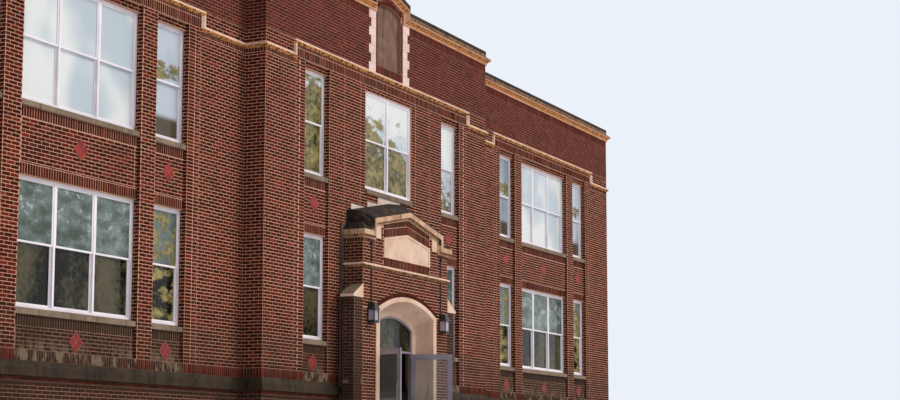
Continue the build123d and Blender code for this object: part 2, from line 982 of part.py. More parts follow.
def lantern_hood_shape(x, foot):
    """The tapered metal hood, its back against the wall."""
    half = lantern_width / 2 + lantern_hood_proud
    reach = lantern_depth + lantern_hood_proud
    brim = Pos(x, porch_front - reach / 2, foot) * Rectangle(2 * half, reach)
    top_reach = reach * (1 + lantern_hood_top) / 2
    top = Pos(x, porch_front - top_reach / 2, foot + lantern_hood)
    return loft([brim, top * Rectangle(2 * half * lantern_hood_top, top_reach)])


def lantern_bodies():
    """A metal lantern each side of the arch."""
    lanterns = []
    half = lantern_width / 2
    glass_foot = lantern_foot + lantern_base
    glass_head = glass_foot + lantern_glass_height
    for side in (-1, 1):
        x = side * lantern_offset
        y0 = porch_front - lantern_depth
        body = block(x - half, x + half, y0, porch_front, lantern_foot, glass_foot)
        body += block(x - half, x + half, porch_front - lantern_back, porch_front, lantern_foot, glass_head)
        for low in (x - half, x + half - lantern_post):
            body += block(low, low + lantern_post, y0, y0 + lantern_post, lantern_foot, glass_head)
        body += lantern_hood_shape(x, glass_head)
        lanterns.append(body)
    return lanterns


def lantern_conduits():
    """The conduit over each lantern, and past the string up to a small box."""
    pieces = []
    hood_top = lantern_foot + lantern_base + lantern_glass_height + lantern_hood
    string_top = porch_string_foot + string_height
    box_foot = string_top + junction_box_height
    half = junction_box / 2
    for side in (-1, 1):
        x = side * (lantern_offset - conduit_aside)
        y = porch_front - conduit_radius
        for foot, head in ((hood_top, porch_string_foot), (string_top, box_foot)):
            outline = RegularPolygon(conduit_radius, conduit_sides)
            pieces.append(Pos(x, y, foot) * extrude(outline, head - foot))
        box_face = porch_front - junction_box_depth
        pieces[-1] += block(x - half, x + half, box_face, porch_front, box_foot, box_foot + junction_box)
    return pieces


def lantern_lenses():
    """The milky glass inside each lantern."""
    lenses = []
    foot = lantern_foot + lantern_base
    half = lantern_width / 2 - lantern_post
    for side in (-1, 1):
        x = side * lantern_offset
        y0 = porch_front - lantern_depth + lantern_post
        y1 = porch_front - lantern_back
        lenses.append(block(x - half, x + half, y0, y1, foot, foot + lantern_glass_height))
    return lenses


def downspouts():
    """A square metal pipe with its straps on the wall beside each side of the porch."""
    pipes = []
    for side in (-1, 1):
        inner = porch_half + downspout_gap
        outer = inner + downspout_width
        low, high = sorted((side * inner, side * outer))
        pipe = block(low, high, front - downspout_depth, front, 0, porch_top + downspout_over_coping)
        for level in (water_table_foot, trim_spring):
            face = front - downspout_depth - strap_proud
            pipe += block(low - strap_proud, high + strap_proud, face, front, level, level + strap_height)
        pipes.append(pipe)
    return pipes


def save(node, shape):
    """Write one piece, or a list of like pieces, under the node's name."""
    pieces = shape if isinstance(shape, list) else [shape]
    solids = [solid for piece in pieces for solid in piece.solids()]
    whole = solids[0] if len(solids) == 1 else Compound(solids)
    export_step(whole, f"parts/{node}.step")


os.makedirs("parts", exist_ok=True)
save("ground_slab", ground_slab())
save("first_floor", first_floor())
save("upper_floor", floor_slab(first_floor_level + storey_height))
save("roof_slab", floor_slab(roof_level))
save("basement_front", basement_front())
save("basement_back", basement_back())
save("water_table", water_table())
save("wing_wall_left", wing_left * bay_wall(outer_part, inner_part, bay_head, wing_bays))
save("wing_wall_right", wing_right * bay_wall(inner_part, outer_part, bay_head, wing_bays))
save("parapet_wall_left", wing_left * parapet_wall(outer_part, inner_part))
save("parapet_wall_right", wing_right * parapet_wall(inner_part, outer_part))
save("centre_wall_left", centre_wall_side(-1))
save("centre_wall_right", centre_wall_side(1))
save("centre_wall_over", centre_wall_over())
save("end_wall_left", end_left * bay_wall(end_half, end_half, wing_parapet, wing_bays))
save("end_wall_right", end_right * bay_wall(end_half, end_half, wing_parapet, wing_bays))
save("rear_wall_left", rear_left * bay_wall(outer_part, inner_part, wing_parapet, wing_bays))
save("rear_wall_centre", rear_centre * bay_wall(centre_half, centre_half, wing_parapet, centre_bays))
save("rear_wall_right", rear_right * bay_wall(inner_part, outer_part, wing_parapet, wing_bays))
save("window_frames_front", all_frames(front_windows))
save("window_frames_sides", all_frames(other_windows))
save("window_glass_front", all_panes(front_windows))
save("window_glass_sides", all_panes(other_windows))
save("window_sills", all_sills())
save("bay_panels_front", all_panels(front_bays))
save("bay_panels_sides", all_panels(other_bays))
save("spandrel_tiles", all_tiles())
save("string_course", string_course())
save("cornice_wings", cornice_wings())
save("cornice_centre", cornice_centre())
save("coping_wings", coping_wings())
save("coping_centre", coping_centre())
save("niche_panel", niche_panel())
save("niche_quoins", niche_quoins())
save("porch_piers", porch_piers())
save("porch_gable_wall", porch_gable_wall())
save("porch_kneelers", porch_kneelers())
save("arch_surround", arch_surround())
save("name_stone", name_stone())
save("porch_coping", porch_coping())
save("porch_flashing", porch_flashing())
save("buttress_caps", buttress_caps())
save("door_frame", door_frame())
save("fanlight_glass", fanlight_glass())
save("door_left", hang(closed_leaf(), -1))
save("door_right", hang(closed_leaf(), 1))
save("door_left_glass", hang(closed_pane(), -1))
save("door_right_glass", hang(closed_pane(), 1))
save("entrance_step", entrance_step())
save("lantern_bodies", lantern_bodies())
save("lantern_lenses", lantern_lenses())
save("lantern_conduits", lantern_conduits())
save("downspouts", downspouts())
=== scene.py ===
# %% [markdown]
# # A brick elementary school, dressed for its portrait
#
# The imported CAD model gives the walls, windows, stone trim, porch and doors at full size, in metres.
# This lesson adds what a mason and a painter would: about sixty-seven thousand bricks laid in courses, and
# a procedural finish for every surface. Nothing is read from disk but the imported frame.

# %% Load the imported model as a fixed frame
import math

import bpy
import numpy as np
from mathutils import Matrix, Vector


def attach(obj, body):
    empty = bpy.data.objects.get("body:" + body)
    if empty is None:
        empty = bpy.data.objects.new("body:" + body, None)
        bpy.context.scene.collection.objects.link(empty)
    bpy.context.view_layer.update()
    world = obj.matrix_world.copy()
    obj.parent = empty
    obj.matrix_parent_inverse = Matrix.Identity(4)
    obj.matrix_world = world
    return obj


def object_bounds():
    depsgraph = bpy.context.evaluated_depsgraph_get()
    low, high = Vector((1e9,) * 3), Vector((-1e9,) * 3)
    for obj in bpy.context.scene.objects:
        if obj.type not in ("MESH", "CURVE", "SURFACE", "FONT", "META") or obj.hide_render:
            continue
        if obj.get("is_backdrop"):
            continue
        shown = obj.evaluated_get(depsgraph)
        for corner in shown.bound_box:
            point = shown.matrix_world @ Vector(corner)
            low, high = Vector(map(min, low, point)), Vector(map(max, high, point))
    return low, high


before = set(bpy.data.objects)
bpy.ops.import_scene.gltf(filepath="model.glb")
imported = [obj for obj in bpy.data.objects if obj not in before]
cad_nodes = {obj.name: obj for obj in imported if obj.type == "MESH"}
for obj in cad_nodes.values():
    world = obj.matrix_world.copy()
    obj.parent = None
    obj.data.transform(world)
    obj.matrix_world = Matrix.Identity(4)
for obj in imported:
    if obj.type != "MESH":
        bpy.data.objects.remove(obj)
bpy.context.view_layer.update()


# %% Measure a node
def end_of(name, way):
    """How far a CAD node reaches one way, such as "+x" or "-z", in metres to a tenth of a millimetre."""
    vertices = cad_nodes[name].data.vertices
    places = np.empty(3 * len(vertices), np.float32)
    vertices.foreach_get("co", places)
    along = places["xyz".index(way[1])::3]
    return round(float(along.max() if way[0] == "+" else along.min()), 4)


print("the roof lies at", end_of("roof_slab", "+z"), "m")

# %% [markdown]
# ## The camera
# The photograph was taken from a little below the ground line of the school, along the front at a
# shallow angle. Such a view could be matched by eye, but bricks have a known size, so the courses in the
# picture give the distance and the lens. A small upward shift keeps the verticals close to upright.

# %% Camera
eye = (-34.778, -26.95, -0.268)
heading, upward_tilt = 26.335, 6.758
camera_data = bpy.data.cameras.new("photo_camera")
camera_data.sensor_width = 36.0
camera_data.lens = 67.01
camera_data.shift_y = 0.07
camera_data.clip_end = 400.0
camera = bpy.data.objects.new("photo_camera", camera_data)
camera.location = eye
camera.rotation_euler = (math.radians(90.0 + upward_tilt), 0.0, math.radians(heading - 90.0))
bpy.context.scene.collection.objects.link(camera)
bpy.context.scene.camera = camera
print("camera", tuple(camera.location), "lens", camera_data.lens)

# %% [markdown]
# ## Shader maths as plain expressions
# A finish is a sum of small patterns, so a value that varies over a surface is wrapped in one small
# class. Adding or multiplying two of them adds the Math node that does it, and `1 - mask` works too.

# %% The class that wraps a socket
class Field:
    """A number or colour that varies over a surface: one node's output, with arithmetic."""

    def __init__(self, tree, socket):
        self.tree = tree
        self.socket = socket

    def node(self, kind, settings=None, out=0, **sockets):
        """Add a node of any kind: its settings first, then its inputs by name or as in0, in1."""
        made = self.tree.nodes.new(kind)
        for name, value in (settings or {}).items():
            if name == "stops":
                fill_ramp(made.color_ramp, value)
            else:
                setattr(made, name, value)
        usable = [socket for socket in made.inputs if socket.enabled]
        for name, value in sockets.items():
            plain = name.replace("_", " ")
            target = usable[int(name[2:])] if name[:2] == "in" and name[2:].isdigit() else None
            if target is None:
                target = next(socket for socket in usable if socket.name == plain)
            if isinstance(value, Field):
                self.tree.links.new(value.socket, target)
            else:
                target.default_value = value
        outputs = [socket for socket in made.outputs if socket.enabled]
        chosen = outputs[out] if isinstance(out, int) else made.outputs[out]
        return Field(self.tree, chosen)

    def math(self, operation, *values):
        inputs = {f"in{number}": value for number, value in enumerate(values)}
        return self.node("ShaderNodeMath", {"operation": operation}, **inputs)

    def __add__(self, other):
        return self.math("ADD", self, other)

    def __sub__(self, other):
        return self.math("SUBTRACT", self, other)

    def __mul__(self, other):
        return self.math("MULTIPLY", self, other)

    def __truediv__(self, other):
        return self.math("DIVIDE", self, other)

    def __rsub__(self, other):
        return self.math("SUBTRACT", other, self)

    def __rtruediv__(self, other):
        return self.math("DIVIDE", other, self)

    __radd__ = __add__
    __rmul__ = __mul__

    def fraction(self):
        return self.math("FRACT", self)

    def size(self):
        return self.math("ABSOLUTE", self)

    def larger(self, other):
        return self.math("MAXIMUM", self, other)

    def ramp(self, low, high):
        """0 below low, 1 above high, smooth between; low above high turns it round."""
        settings = {"interpolation_type": "SMOOTHSTEP"}
        ends = {"From_Min": low, "From_Max": high} if low < high else {"From_Min": high, "From_Max": low}
        stepped = self.node("ShaderNodeMapRange", settings, Value=self, **ends)
        return stepped if low < high else 1.0 - stepped

    def tint(self, colour_a, colour_b):
        """The colour that lies this far from colour_a to colour_b."""
        settings = {"data_type": "RGBA"}
        return self.node("ShaderNodeMix", settings, in0=self, A=colour_a, B=colour_b)


print("Field wraps a socket; 1 - Field adds a Math node")


# %% Ramps, and colours as a screen shows them
def fill_ramp(ramp, stops):
    """Give a colour ramp its stops, each a place from 0 to 1 and a colour."""
    while len(ramp.elements) < len(stops):
        ramp.elements.new(1.0)
    for element, (place, colour) in zip(ramp.elements, stops):
        element.position = place
        element.color = colour


def srgb(red, green, blue):
    """A colour written as 0 to 255 on a screen, as linear light with full alpha."""
    screen = np.array([red, green, blue]) / 255.0
    linear = np.where(screen > 0.04045, ((screen + 0.055) / 1.055) ** 2.4, screen / 12.92)
    return (*(float(v) for v in linear), 1.0)


print("half grey on a screen is", round(srgb(128, 128, 128)[0], 3), "in linear light")

# %% [markdown]
# ## Light
# Bright haze fills the whole front with soft light and only faint shadows. A wide, weak sun, high in
# front of the school and a little to its right, models the bricks, and an even pale world does the rest.
# The world shows a pale sky only to camera, glossy and transmission rays, so it adds no more light to
# the object.

# %% World and sun
def pale_world(light, sky):
    """An even light, with another colour where the world itself is seen or mirrored."""
    world = bpy.data.worlds.new("studio")
    bpy.context.scene.world = world
    world.use_nodes = True
    tree = world.node_tree
    tree.nodes.clear()
    start = Field(tree, None)
    camera_ray = start.node("ShaderNodeLightPath", out="Is Camera Ray")
    mirrored_ray = start.node("ShaderNodeLightPath", out="Is Glossy Ray")
    ray_through = start.node("ShaderNodeLightPath", out="Is Transmission Ray")
    seen = camera_ray.larger(mirrored_ray).larger(ray_through)
    lamp = start.node("ShaderNodeBackground", Color=(*light, 1.0))
    backdrop = start.node("ShaderNodeBackground", Color=(*sky, 1.0))
    choose = start.node("ShaderNodeMixShader", in0=seen, in1=lamp, in2=backdrop)
    output = tree.nodes.new("ShaderNodeOutputWorld")
    tree.links.new(choose.socket, output.inputs["Surface"])


pale_world(light=(0.60, 0.62, 0.66), sky=(0.83, 0.88, 0.94))
sun_data = bpy.data.lights.new("soft_sun", "SUN")
sun_data.energy = 1.9
sun_data.angle = math.radians(25.0)
sun_data.color = (1.0, 0.93, 0.85)
sun = bpy.data.objects.new("soft_sun", sun_data)
from_overhead, round_from_south = 48.0, 28.0
sun.rotation_euler = (math.radians(from_overhead), 0.0, math.radians(round_from_south))
bpy.context.scene.collection.objects.link(sun)
bpy.context.scene.view_settings.view_transform = "Standard"
print("lights are up")

# %% [markdown]
# ## A finish is a material with its place in metres
# Every finish starts from the object coordinates, which are metres on the real school, so a brick or
# a stain has its true size on every piece. The shader's constants are set on its own sockets.

# %% Start a finish
class Finish:
    """One material: its coordinates to read from, and its shader to feed."""

    def __init__(self, name, roughness=0.8, **constants):
        self.material = bpy.data.materials.new(name)
        self.material.use_nodes = True
        self.tree = self.material.node_tree
        self.tree.nodes.clear()
        self.shader = self.tree.nodes.new("ShaderNodeBsdfPrincipled")
        output = self.tree.nodes.new("ShaderNodeOutputMaterial")
        self.tree.links.new(self.shader.outputs[0], output.inputs["Surface"])
        self.shader.inputs["Roughness"].default_value = roughness
        for socket, value in constants.items():
            self.shader.inputs[socket.replace("_", " ")].default_value = value
        self.any = Field(self.tree, None)
        self.place = self.any.node("ShaderNodeTexCoord", out="Object")
        self.x, self.y, self.z = (self.part(self.place, axis) for axis in "XYZ")
        self.facing = self.any.node("ShaderNodeNewGeometry", out="Normal")

    def part(self, vector, axis):
        return self.any.node("ShaderNodeSeparateXYZ", out=axis, Vector=vector)

    def attribute(self, name):
        return self.any.node("ShaderNodeAttribute", {"attribute_name": name}, out="Fac")

    def noise(self, scale, detail=3.0, stretch=(1.0, 1.0, 1.0), roughness=0.55):
        """Cloudy noise from about 0.3 to 0.7, scale to the metre, stretched along an axis."""
        where = self.any.node("ShaderNodeMapping", Vector=self.place, Scale=stretch)
        return self.any.node(
            "ShaderNodeTexNoise", out="Fac", Vector=where, Scale=scale, Detail=detail, Roughness=roughness
        )

    def feed(self, socket, field):
        self.tree.links.new(field.socket, self.shader.inputs[socket])

    def colour(self, field):
        self.feed("Base Color", field)

    def bump(self, height, distance):
        """Raise the surface by height times distance, in metres."""
        raised = self.any.node("ShaderNodeBump", Height=height, Distance=distance, Strength=1.0)
        self.feed("Normal", raised)

    def dress(self, *names):
        """Give CAD nodes this finish."""
        for name in names:
            slots = cad_nodes[name].data.materials
            slots.clear()
            slots.append(self.material)


print("a finish reads metres")

# %% [markdown]
# ## Mortar
# The CAD walls are the backing that a bricklayer builds up on the way, and what shows of them between
# the bricks is mortar: sandy, pinkish tan, browner over the string, and sooty where water runs off the
# sills and over the stone band. The bricks stand four millimetres proud of it, as raked joints do. An
# image of mortar would blur close up and repeat from afar, and noise in metres does neither.

# %% Mortar finish
def mortar_finish(name, soot_of):
    """Sandy mortar, with a rule that gives the soot from the finish's own coordinates."""
    finish = Finish(name, roughness=0.95, Specular_IOR_Level=0.15)
    sand = finish.noise(140.0, detail=4.0)
    patches = finish.noise(0.9, detail=4.0)
    soot = (soot_of(finish) + patches.ramp(0.5, 0.7) * 0.2) * sand.ramp(0.15, 0.5)
    below_string = sand.tint(srgb(190, 138, 110), srgb(227, 179, 150))
    above_string = sand.tint(srgb(136, 92, 76), srgb(172, 126, 108))
    pale = finish.z.ramp(8.75, 8.95).tint(below_string, above_string)
    finish.colour(soot.tint(pale, srgb(64, 50, 40)))
    finish.bump(sand, 0.0015)
    return finish


print("a mortar takes a rule for its soot")


# %% Where soot lies on the mortar
def wall_soot(finish):
    """Soot just over and under the stone band, less of it on the base, and a haze that fades upwards."""
    near_band = finish.z.ramp(1.9, 1.3) * 0.7 - finish.z.ramp(1.12, 0.98) * 0.4
    return near_band + finish.z.ramp(3.4, 1.9) * 0.34


def panel_soot(finish):
    """Soot on the panels under the lower windows."""
    return finish.z.ramp(3.4, 2.6) * 0.6 + 0.06


def porch_soot(finish):
    """Soot on the buttresses and the sides, which stand past the porch's half width, and near the ground."""
    return finish.x.size().ramp(2.1, 2.14) * 0.75 + finish.z.ramp(3.0, 0.8) * 0.3


brick_walls = [name for name in cad_nodes if "wall" in name or name.startswith("basement")]
mortar_finish("mortar", wall_soot).dress(*brick_walls)
mortar_finish("panel_mortar", panel_soot).dress("bay_panels_front", "bay_panels_sides")
mortar_finish("porch_mortar", porch_soot).dress("porch_piers", "porch_gable_wall")
print("mortar on", len(brick_walls), "walls, the bay panels and the porch")

# %% [markdown]
# ## Laying bricks
# A brick pattern in the material would do from afar, but it has no depth at a corner and can't turn
# into soldiers and arches, so here each brick is a block. Each face of the building is a flat field with
# a line along it and a direction that it looks in. A bricklayer fills a rectangle of it course by course,
# each course shifted by half a brick, and cuts the end bricks to fit. In arrays that is one grid of
# courses and columns, clipped to the rectangle. A brick is kept as its four corners on the face, so
# sloped and wedge-shaped ones use the same code.

# %% The size of a brick, in metres
course = 0.0699
stretcher = 0.216
soldier_height, rowlock_height = 0.203, 0.1
joint = 0.012
field_foot = end_of("bay_panels_front", "-z")
chance = np.random.default_rng(1928)
print("one square metre takes", round(1 / (course * stretcher)), "bricks")


# %% Cut bricks to a rectangle
def quads(u0, u1, z0, z1):
    """Rectangles as four corners each, from arrays of their edges."""
    u0, u1, z0, z1 = (edge.ravel() for edge in np.broadcast_arrays(u0, u1, z0, z1))
    lower = [np.stack([u0, z0], 1), np.stack([u1, z0], 1)]
    upper = [np.stack([u1, z1], 1), np.stack([u0, z1], 1)]
    return np.stack(lower + upper, 1)


def cut_to(u0, u1, z0, z1, low, high, foot, head):
    """Clip bricks to a rectangle and drop slivers under 30 mm wide or 25 mm high, which no one lays."""
    u0, u1 = np.maximum(u0, low), np.minimum(u1, high)
    z0, z1 = np.maximum(z0, foot), np.minimum(z1, head)
    u0, u1, z0, z1 = (edge.ravel() for edge in np.broadcast_arrays(u0, u1, z0, z1))
    kept = (u1 - u0 > 0.03) & (z1 - z0 > 0.025)
    return quads(u0[kept], u1[kept], z0[kept], z1[kept])


print("a brick is four corners on its face")


# %% Courses and soldiers
def running(low, high, foot, head, stack=False):
    """Stretchers in running bond: course k shifts by half a brick when k is odd, and by none in a stack.

    Courses are counted from field_foot on every wall, so they meet at the corners.
    """
    first_row = math.floor((foot - field_foot) / course)
    rows = np.arange(first_row, math.ceil((head - field_foot) / course))[:, None]
    shift = 0.0 if stack else 0.5 * (rows % 2)
    origin = low if stack else 0.0
    first = math.floor((low - origin) / stretcher) - 1
    columns = np.arange(first, first + math.ceil((high - low) / stretcher) + 3)[None, :]
    left = origin + (columns + shift) * stretcher
    bottom = field_foot + rows * course
    return cut_to(left, left + stretcher, bottom, bottom + course, low, high, foot, head)


def soldiers(low, high, foot, head):
    """Bricks on end, side by side, spread so that a whole number fills the width."""
    count = max(1, round((high - low) / course))
    width = (high - low) / count
    left = low + np.arange(count) * width
    return quads(left, left + width, np.full(count, foot), np.full(count, head))


print("a wall 3 m long and 1 m high takes", len(running(0.0, 3.0, 0.0, 1.0)), "bricks with the cut ones")


# %% Sloping rows and wedges
def between(low, high, foot, head, pitch=course):
    """Bricks on end between two sloping lines, each a height in the middle and a slope down from it."""
    count = max(1, round((high - low) / pitch))
    edges = np.linspace(low, high, count + 1)
    u0, u1 = edges[:-1], edges[1:]
    corners = [(u0, foot), (u1, foot), (u1, head), (u0, head)]
    return np.stack([np.stack([u, line[0] - line[1] * np.abs(u)], 1) for u, line in corners], 1)


def voussoirs(centre_z, inner, outer, reach, pitch=0.075):
    """Wedges round an arch: each spans a small angle between two radii."""
    count = int(round(2 * reach * outer / pitch))
    edges = np.linspace(-reach, reach, count + 1)
    start, end = edges[:-1], edges[1:]
    corners = [(inner, start), (inner, end), (outer, end), (outer, start)]
    points = [np.stack([r * np.sin(a), centre_z + r * np.cos(a)], 1) for r, a in corners]
    return np.stack(points, 1)


def outside(bricks, test):
    """The bricks whose middle doesn't pass the test."""
    middle = bricks.mean(1)
    return bricks[~test(middle[:, 0], middle[:, 1])]


print("a ring of 1 m radius takes", len(voussoirs(0.0, 1.0, 1.1, math.pi)), "wedges")

# %% [markdown]
# ## From the face to the building
# A field of bricks becomes a mesh by moving its corners out along the face's direction. Each brick's
# outer side is a little smaller than its foot, as the worn arris of a pressed brick is, so light catches
# the edge. A Bevel modifier would do that too, with several times the faces. Five sides are enough,
# because the sixth is in the mortar.

# %% Stand bricks up on a face
worn_edge, bedded, uneven = 0.002, 0.004, 0.0012


def brick_corners(field, face, depth, proud):
    """Eight corners to a brick: four at the mortar and four at its outer side, in metres.

    A face is its origin in plan, the direction that it runs along and the direction that it looks in. A
    corner at u, z stands at origin + along * u + out * (height - depth), and its z stays as it is.
    """
    origin, along, out = face
    count = len(field)
    middle = field.mean(1, keepdims=True)
    half_joint = joint / 2 + chance.uniform(-uneven, uneven, (count, 1, 2))
    reach = field - middle
    inner = middle + np.sign(reach) * np.maximum(np.abs(reach) - half_joint, 0.004)
    outer = middle + np.sign(reach) * np.maximum(np.abs(reach) - half_joint - worn_edge, 0.003)
    lift = proud + chance.uniform(-0.001, uneven, (count, 1))
    layers = []
    for corners, height in ((inner, np.full((count, 1), -bedded)), (outer, lift)):
        stand = height - depth
        x = origin[0] + along[0] * corners[..., 0] + out[0] * stand
        y = origin[1] + along[1] * corners[..., 0] + out[1] * stand
        layers.append(np.stack([x, y, corners[..., 1]], -1))
    return np.concatenate(layers, 1)


print("a brick reaches", bedded, "m into the mortar")


# %% One mesh from all the bricks of a piece
def brick_mesh(name, blocks, tones, wears):
    """One object from all bricks: five outward sides each, with a tone and a wear to each brick."""
    points = np.concatenate(blocks)
    count = len(points)
    sides = np.array([[4, 5, 6, 7], [0, 1, 5, 4], [1, 2, 6, 5], [2, 3, 7, 6], [3, 0, 4, 7]])
    faces = np.arange(count)[:, None, None] * 8 + sides
    edge_a = points[:, 5] - points[:, 4]
    edge_b = points[:, 7] - points[:, 4]
    outward = points[:, 4:].mean(1) - points[:, :4].mean(1)
    turned = np.einsum("ij,ij->i", np.cross(edge_a, edge_b), outward) < 0
    faces[turned] = faces[turned][:, :, ::-1]
    mesh = bpy.data.meshes.new(name)
    mesh.from_pydata(points.reshape(-1, 3), [], faces.reshape(-1, 4).tolist())
    for label, values in (("tone", np.concatenate(tones)), ("wear", np.concatenate(wears))):
        layer = mesh.attributes.new(label, "FLOAT", "POINT")
        layer.data.foreach_set("value", np.repeat(values, 8).astype(np.float32))
    piece = bpy.data.objects.new(name, mesh)
    bpy.context.scene.collection.objects.link(piece)
    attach(piece, "building")
    return piece


print("a brick has five sides, which are ten triangles")


# %% Collect the bricks of a piece
class Masonry:
    """Bricks or tiles laid so far for one piece of the building."""

    def __init__(self, name, slot="brick"):
        self.name, self.slot = name, slot
        self.blocks, self.tones, self.wears = [], [], []

    def lay(self, field, face, wear=0.0, depth=0.0, proud=0.004):
        """Stand a field proud of a face, or of a plane depth behind it; wear is 0, clean, to 1, black."""
        if len(field):
            self.blocks.append(brick_corners(field, face, depth, proud))
            self.tones.append(chance.random(len(field)))
            self.wears.append(np.clip(wear + chance.normal(0.0, 0.06, len(field)), 0.0, 1.0))

    def finish(self, finish):
        """Make the mesh of all that was laid, in this finish."""
        piece = brick_mesh(self.name, self.blocks, self.tones, self.wears)
        piece.data.materials.append(finish.material)
        print(self.name, len(piece.data.vertices) // 8, "bricks,", len(piece.data.polygons) * 2, "triangles")


print("a piece of masonry can be laid")

# %% [markdown]
# ## The brick itself
# Most bricks are a deep maroon, some are nearly black where they sat close to the fire, and a few are a
# brighter red. Each brick has its own tone, a cloud of mottling within it, and a fine grain. Soot darkens
# the ones that rain splashes, a pale crust of lichen grows on the row over the stone band, and a thin
# bloom of salts lies here and there on the clean ones. Tone and wear are numbers that each brick carries
# as attributes, so one material serves them all.

# %% Brick finish
def brick_finish():
    """Tone and mottle pick the fired colour, wear adds soot and lichen, and clean bricks get the salts."""
    finish = Finish("fired_brick", roughness=0.86, Specular_IOR_Level=0.08)
    tone = finish.attribute("tone")
    wear = finish.attribute("wear")
    mottle = finish.noise(26.0, detail=4.0)
    grain = finish.noise(420.0, detail=3.0)
    blended = tone * 0.9 + (mottle - 0.5) * 0.4 + 0.05
    stops = [
        (0.0, srgb(42, 13, 6)),
        (0.12, srgb(56, 16, 7)),
        (0.5, srgb(74, 20, 9)),
        (0.84, srgb(92, 28, 15)),
        (0.94, srgb(108, 34, 21)),
        (1.0, srgb(130, 50, 34)),
    ]
    fired = finish.any.node("ShaderNodeValToRGB", {"stops": stops}, Fac=blended)
    # over the string the bricks are of another, more even batch
    clumps = finish.noise(2.4, detail=3.0).ramp(0.4, 0.6).tint(srgb(84, 38, 28), srgb(110, 48, 40))
    fired = (finish.z.ramp(8.8, 9.0) * 0.4).tint(fired, clumps)
    sooty = (wear * mottle.ramp(0.1, 0.5)).tint(fired, srgb(46, 37, 29))
    bloom = finish.noise(1.6, detail=5.0).ramp(0.6, 0.75) * finish.noise(60.0).ramp(0.45, 0.7)
    crust = finish.noise(7.0, detail=6.0, stretch=(1.0, 1.0, 0.5)).ramp(0.47, 0.6)
    crust = crust * finish.z.ramp(1.95, 1.55) * finish.z.ramp(1.44, 1.46) * wear.ramp(0.5, 0.8)
    sooty = (crust * 0.65).tint(sooty, srgb(134, 122, 100))
    finish.colour((bloom * (1.0 - wear) * 0.25).tint(sooty, srgb(172, 132, 112)))
    finish.feed("Roughness", 0.72 + grain * 0.24)
    finish.bump(mottle * 0.6 + grain * 0.4, 0.0016)
    return finish


fired_brick = brick_finish()
print("brick finish is ready")

# %% [markdown]
# ## Where the bricks go
# Every front of the school repeats one scheme: a base under the stone band, a soldier course on it,
# courses up to the string with a straight-jointed strip where a wide pier meets an opening, bays a
# little deeper with soldiers over and under the windows, and a soldier course under the cornice. Written
# once as functions of a face and its bays, the scheme fits every side. A line where a CAD node ends is
# measured on that node, so that brick meets stone, and the others are given.

# %% The scheme's lines, in metres
half_length, centre_half = end_of("end_wall_right", "+x"), end_of("centre_wall_right", "+x")
front, wing_front = end_of("centre_wall_right", "-y"), end_of("wing_wall_right", "-y")
porch_front, back = end_of("porch_piers", "-y"), end_of("rear_wall_centre", "+y")
base_head, band_head = end_of("water_table", "-z"), end_of("water_table", "+z")
bay_head = end_of("wing_wall_right", "+z")
wing_parapet, centre_parapet = end_of("end_wall_right", "+z"), end_of("centre_wall_right", "+z")
cornice_height = 0.27
clean_foot, dirty_head = 1.124, 2.4321
string_low, string_high, string_height, string_jog = 8.455, 8.78, 0.11, 0.06
rowlock_foot = string_low - rowlock_height
sill_lines = end_of("window_frames_front", "-z"), end_of("window_sills", "+z")
sill_height, window_height, wing_middle = 0.13, 2.31, 10.73
recess, frame_depth = 0.07, 0.15
single_half, double_half, triple_half = 0.53, 1.15, 1.71
wing_bay, centre_bay = 2.7, 3.325
group = (-wing_bay, single_half), (0.0, triple_half), (wing_bay, single_half)
centre_group = (-centre_bay, single_half), (0.0, double_half), (centre_bay, single_half)
strip, bay_strip, wide_span = 0.22, 0.1, 1.0
print("storeys at", sill_lines)


# %% One bay: panels between the windows, and the cheeks beside them
def lay_bay(wall, face, middle, half, wears):
    """The brick of one bay, set back, with a wear to each panel, and the cheeks that its depth shows."""
    origin, along, out = face
    low, high = middle - half, middle + half
    spans = (
        (field_foot, sill_lines[0] - sill_height),
        (sill_lines[0] + window_height, sill_lines[1] - sill_height),
        (sill_lines[1] + window_height, bay_head),
    )
    for (foot, head), wear in zip(spans, wears):
        tall = head - foot > 2 * soldier_height
        over = foot + (soldier_height if tall and foot > field_foot else 0.0)
        under = head - (soldier_height if tall else 0.0)
        if over > foot:
            wall.lay(soldiers(low, high, foot, over), face, wear, recess)
        if under < head:
            wall.lay(soldiers(low, high, under, head), face, wear + 0.1, recess)
        edge = bay_strip if half > wide_span else 0.0
        for start, end in ((low, low + edge), (low + edge, high - edge), (high - edge, high)):
            if end > start:
                wall.lay(running(start, end, over, under), face, wear, recess)
    for side in (-1, 1):
        run = middle + side * half
        corner = (origin[0] + along[0] * run, origin[1] + along[1] * run)
        look = (-side * along[0], -side * along[1])
        cheek = (corner, (-out[0], -out[1]), look)
        wall.lay(running(0.0, frame_depth, field_foot, bay_head), cheek, wear=0.1)


print("the panels lie", recess, "m back")


# %% The base and the rows of soldiers
def lay_base(wall, face, low, high):
    """The base, sooty but for the clean course that the stone band shelters."""
    wall.lay(running(low, high, 0.0, clean_foot), face, wear=0.75)
    wall.lay(running(low, high, clean_foot, base_head), face, wear=0.1)


def bay_edges(low, high, bays):
    """The two ends of a face with both edges of each bay between them, from left to right."""
    return [low] + [edge for middle, half in bays for edge in (middle - half, middle + half)] + [high]


def lay_foot_soldiers(wall, face, low, high, bays):
    """The soldiers on the stone band: clean under the piers, sooty under the bays."""
    edges = bay_edges(low, high, bays)
    for number, (start, end) in enumerate(zip(edges, edges[1:])):
        wall.lay(soldiers(start, end, band_head, field_foot), face, wear=0.85 if number % 2 else 0.2)


def lay_under_string(wall, face, low, high):
    """Soldiers over the bays and a low row of bricks on edge that carries the string."""
    middle = bay_head + soldier_height
    wall.lay(soldiers(low, high, bay_head, middle), face)
    wall.lay(soldiers(low, high, middle, string_high), face, wear=0.15)


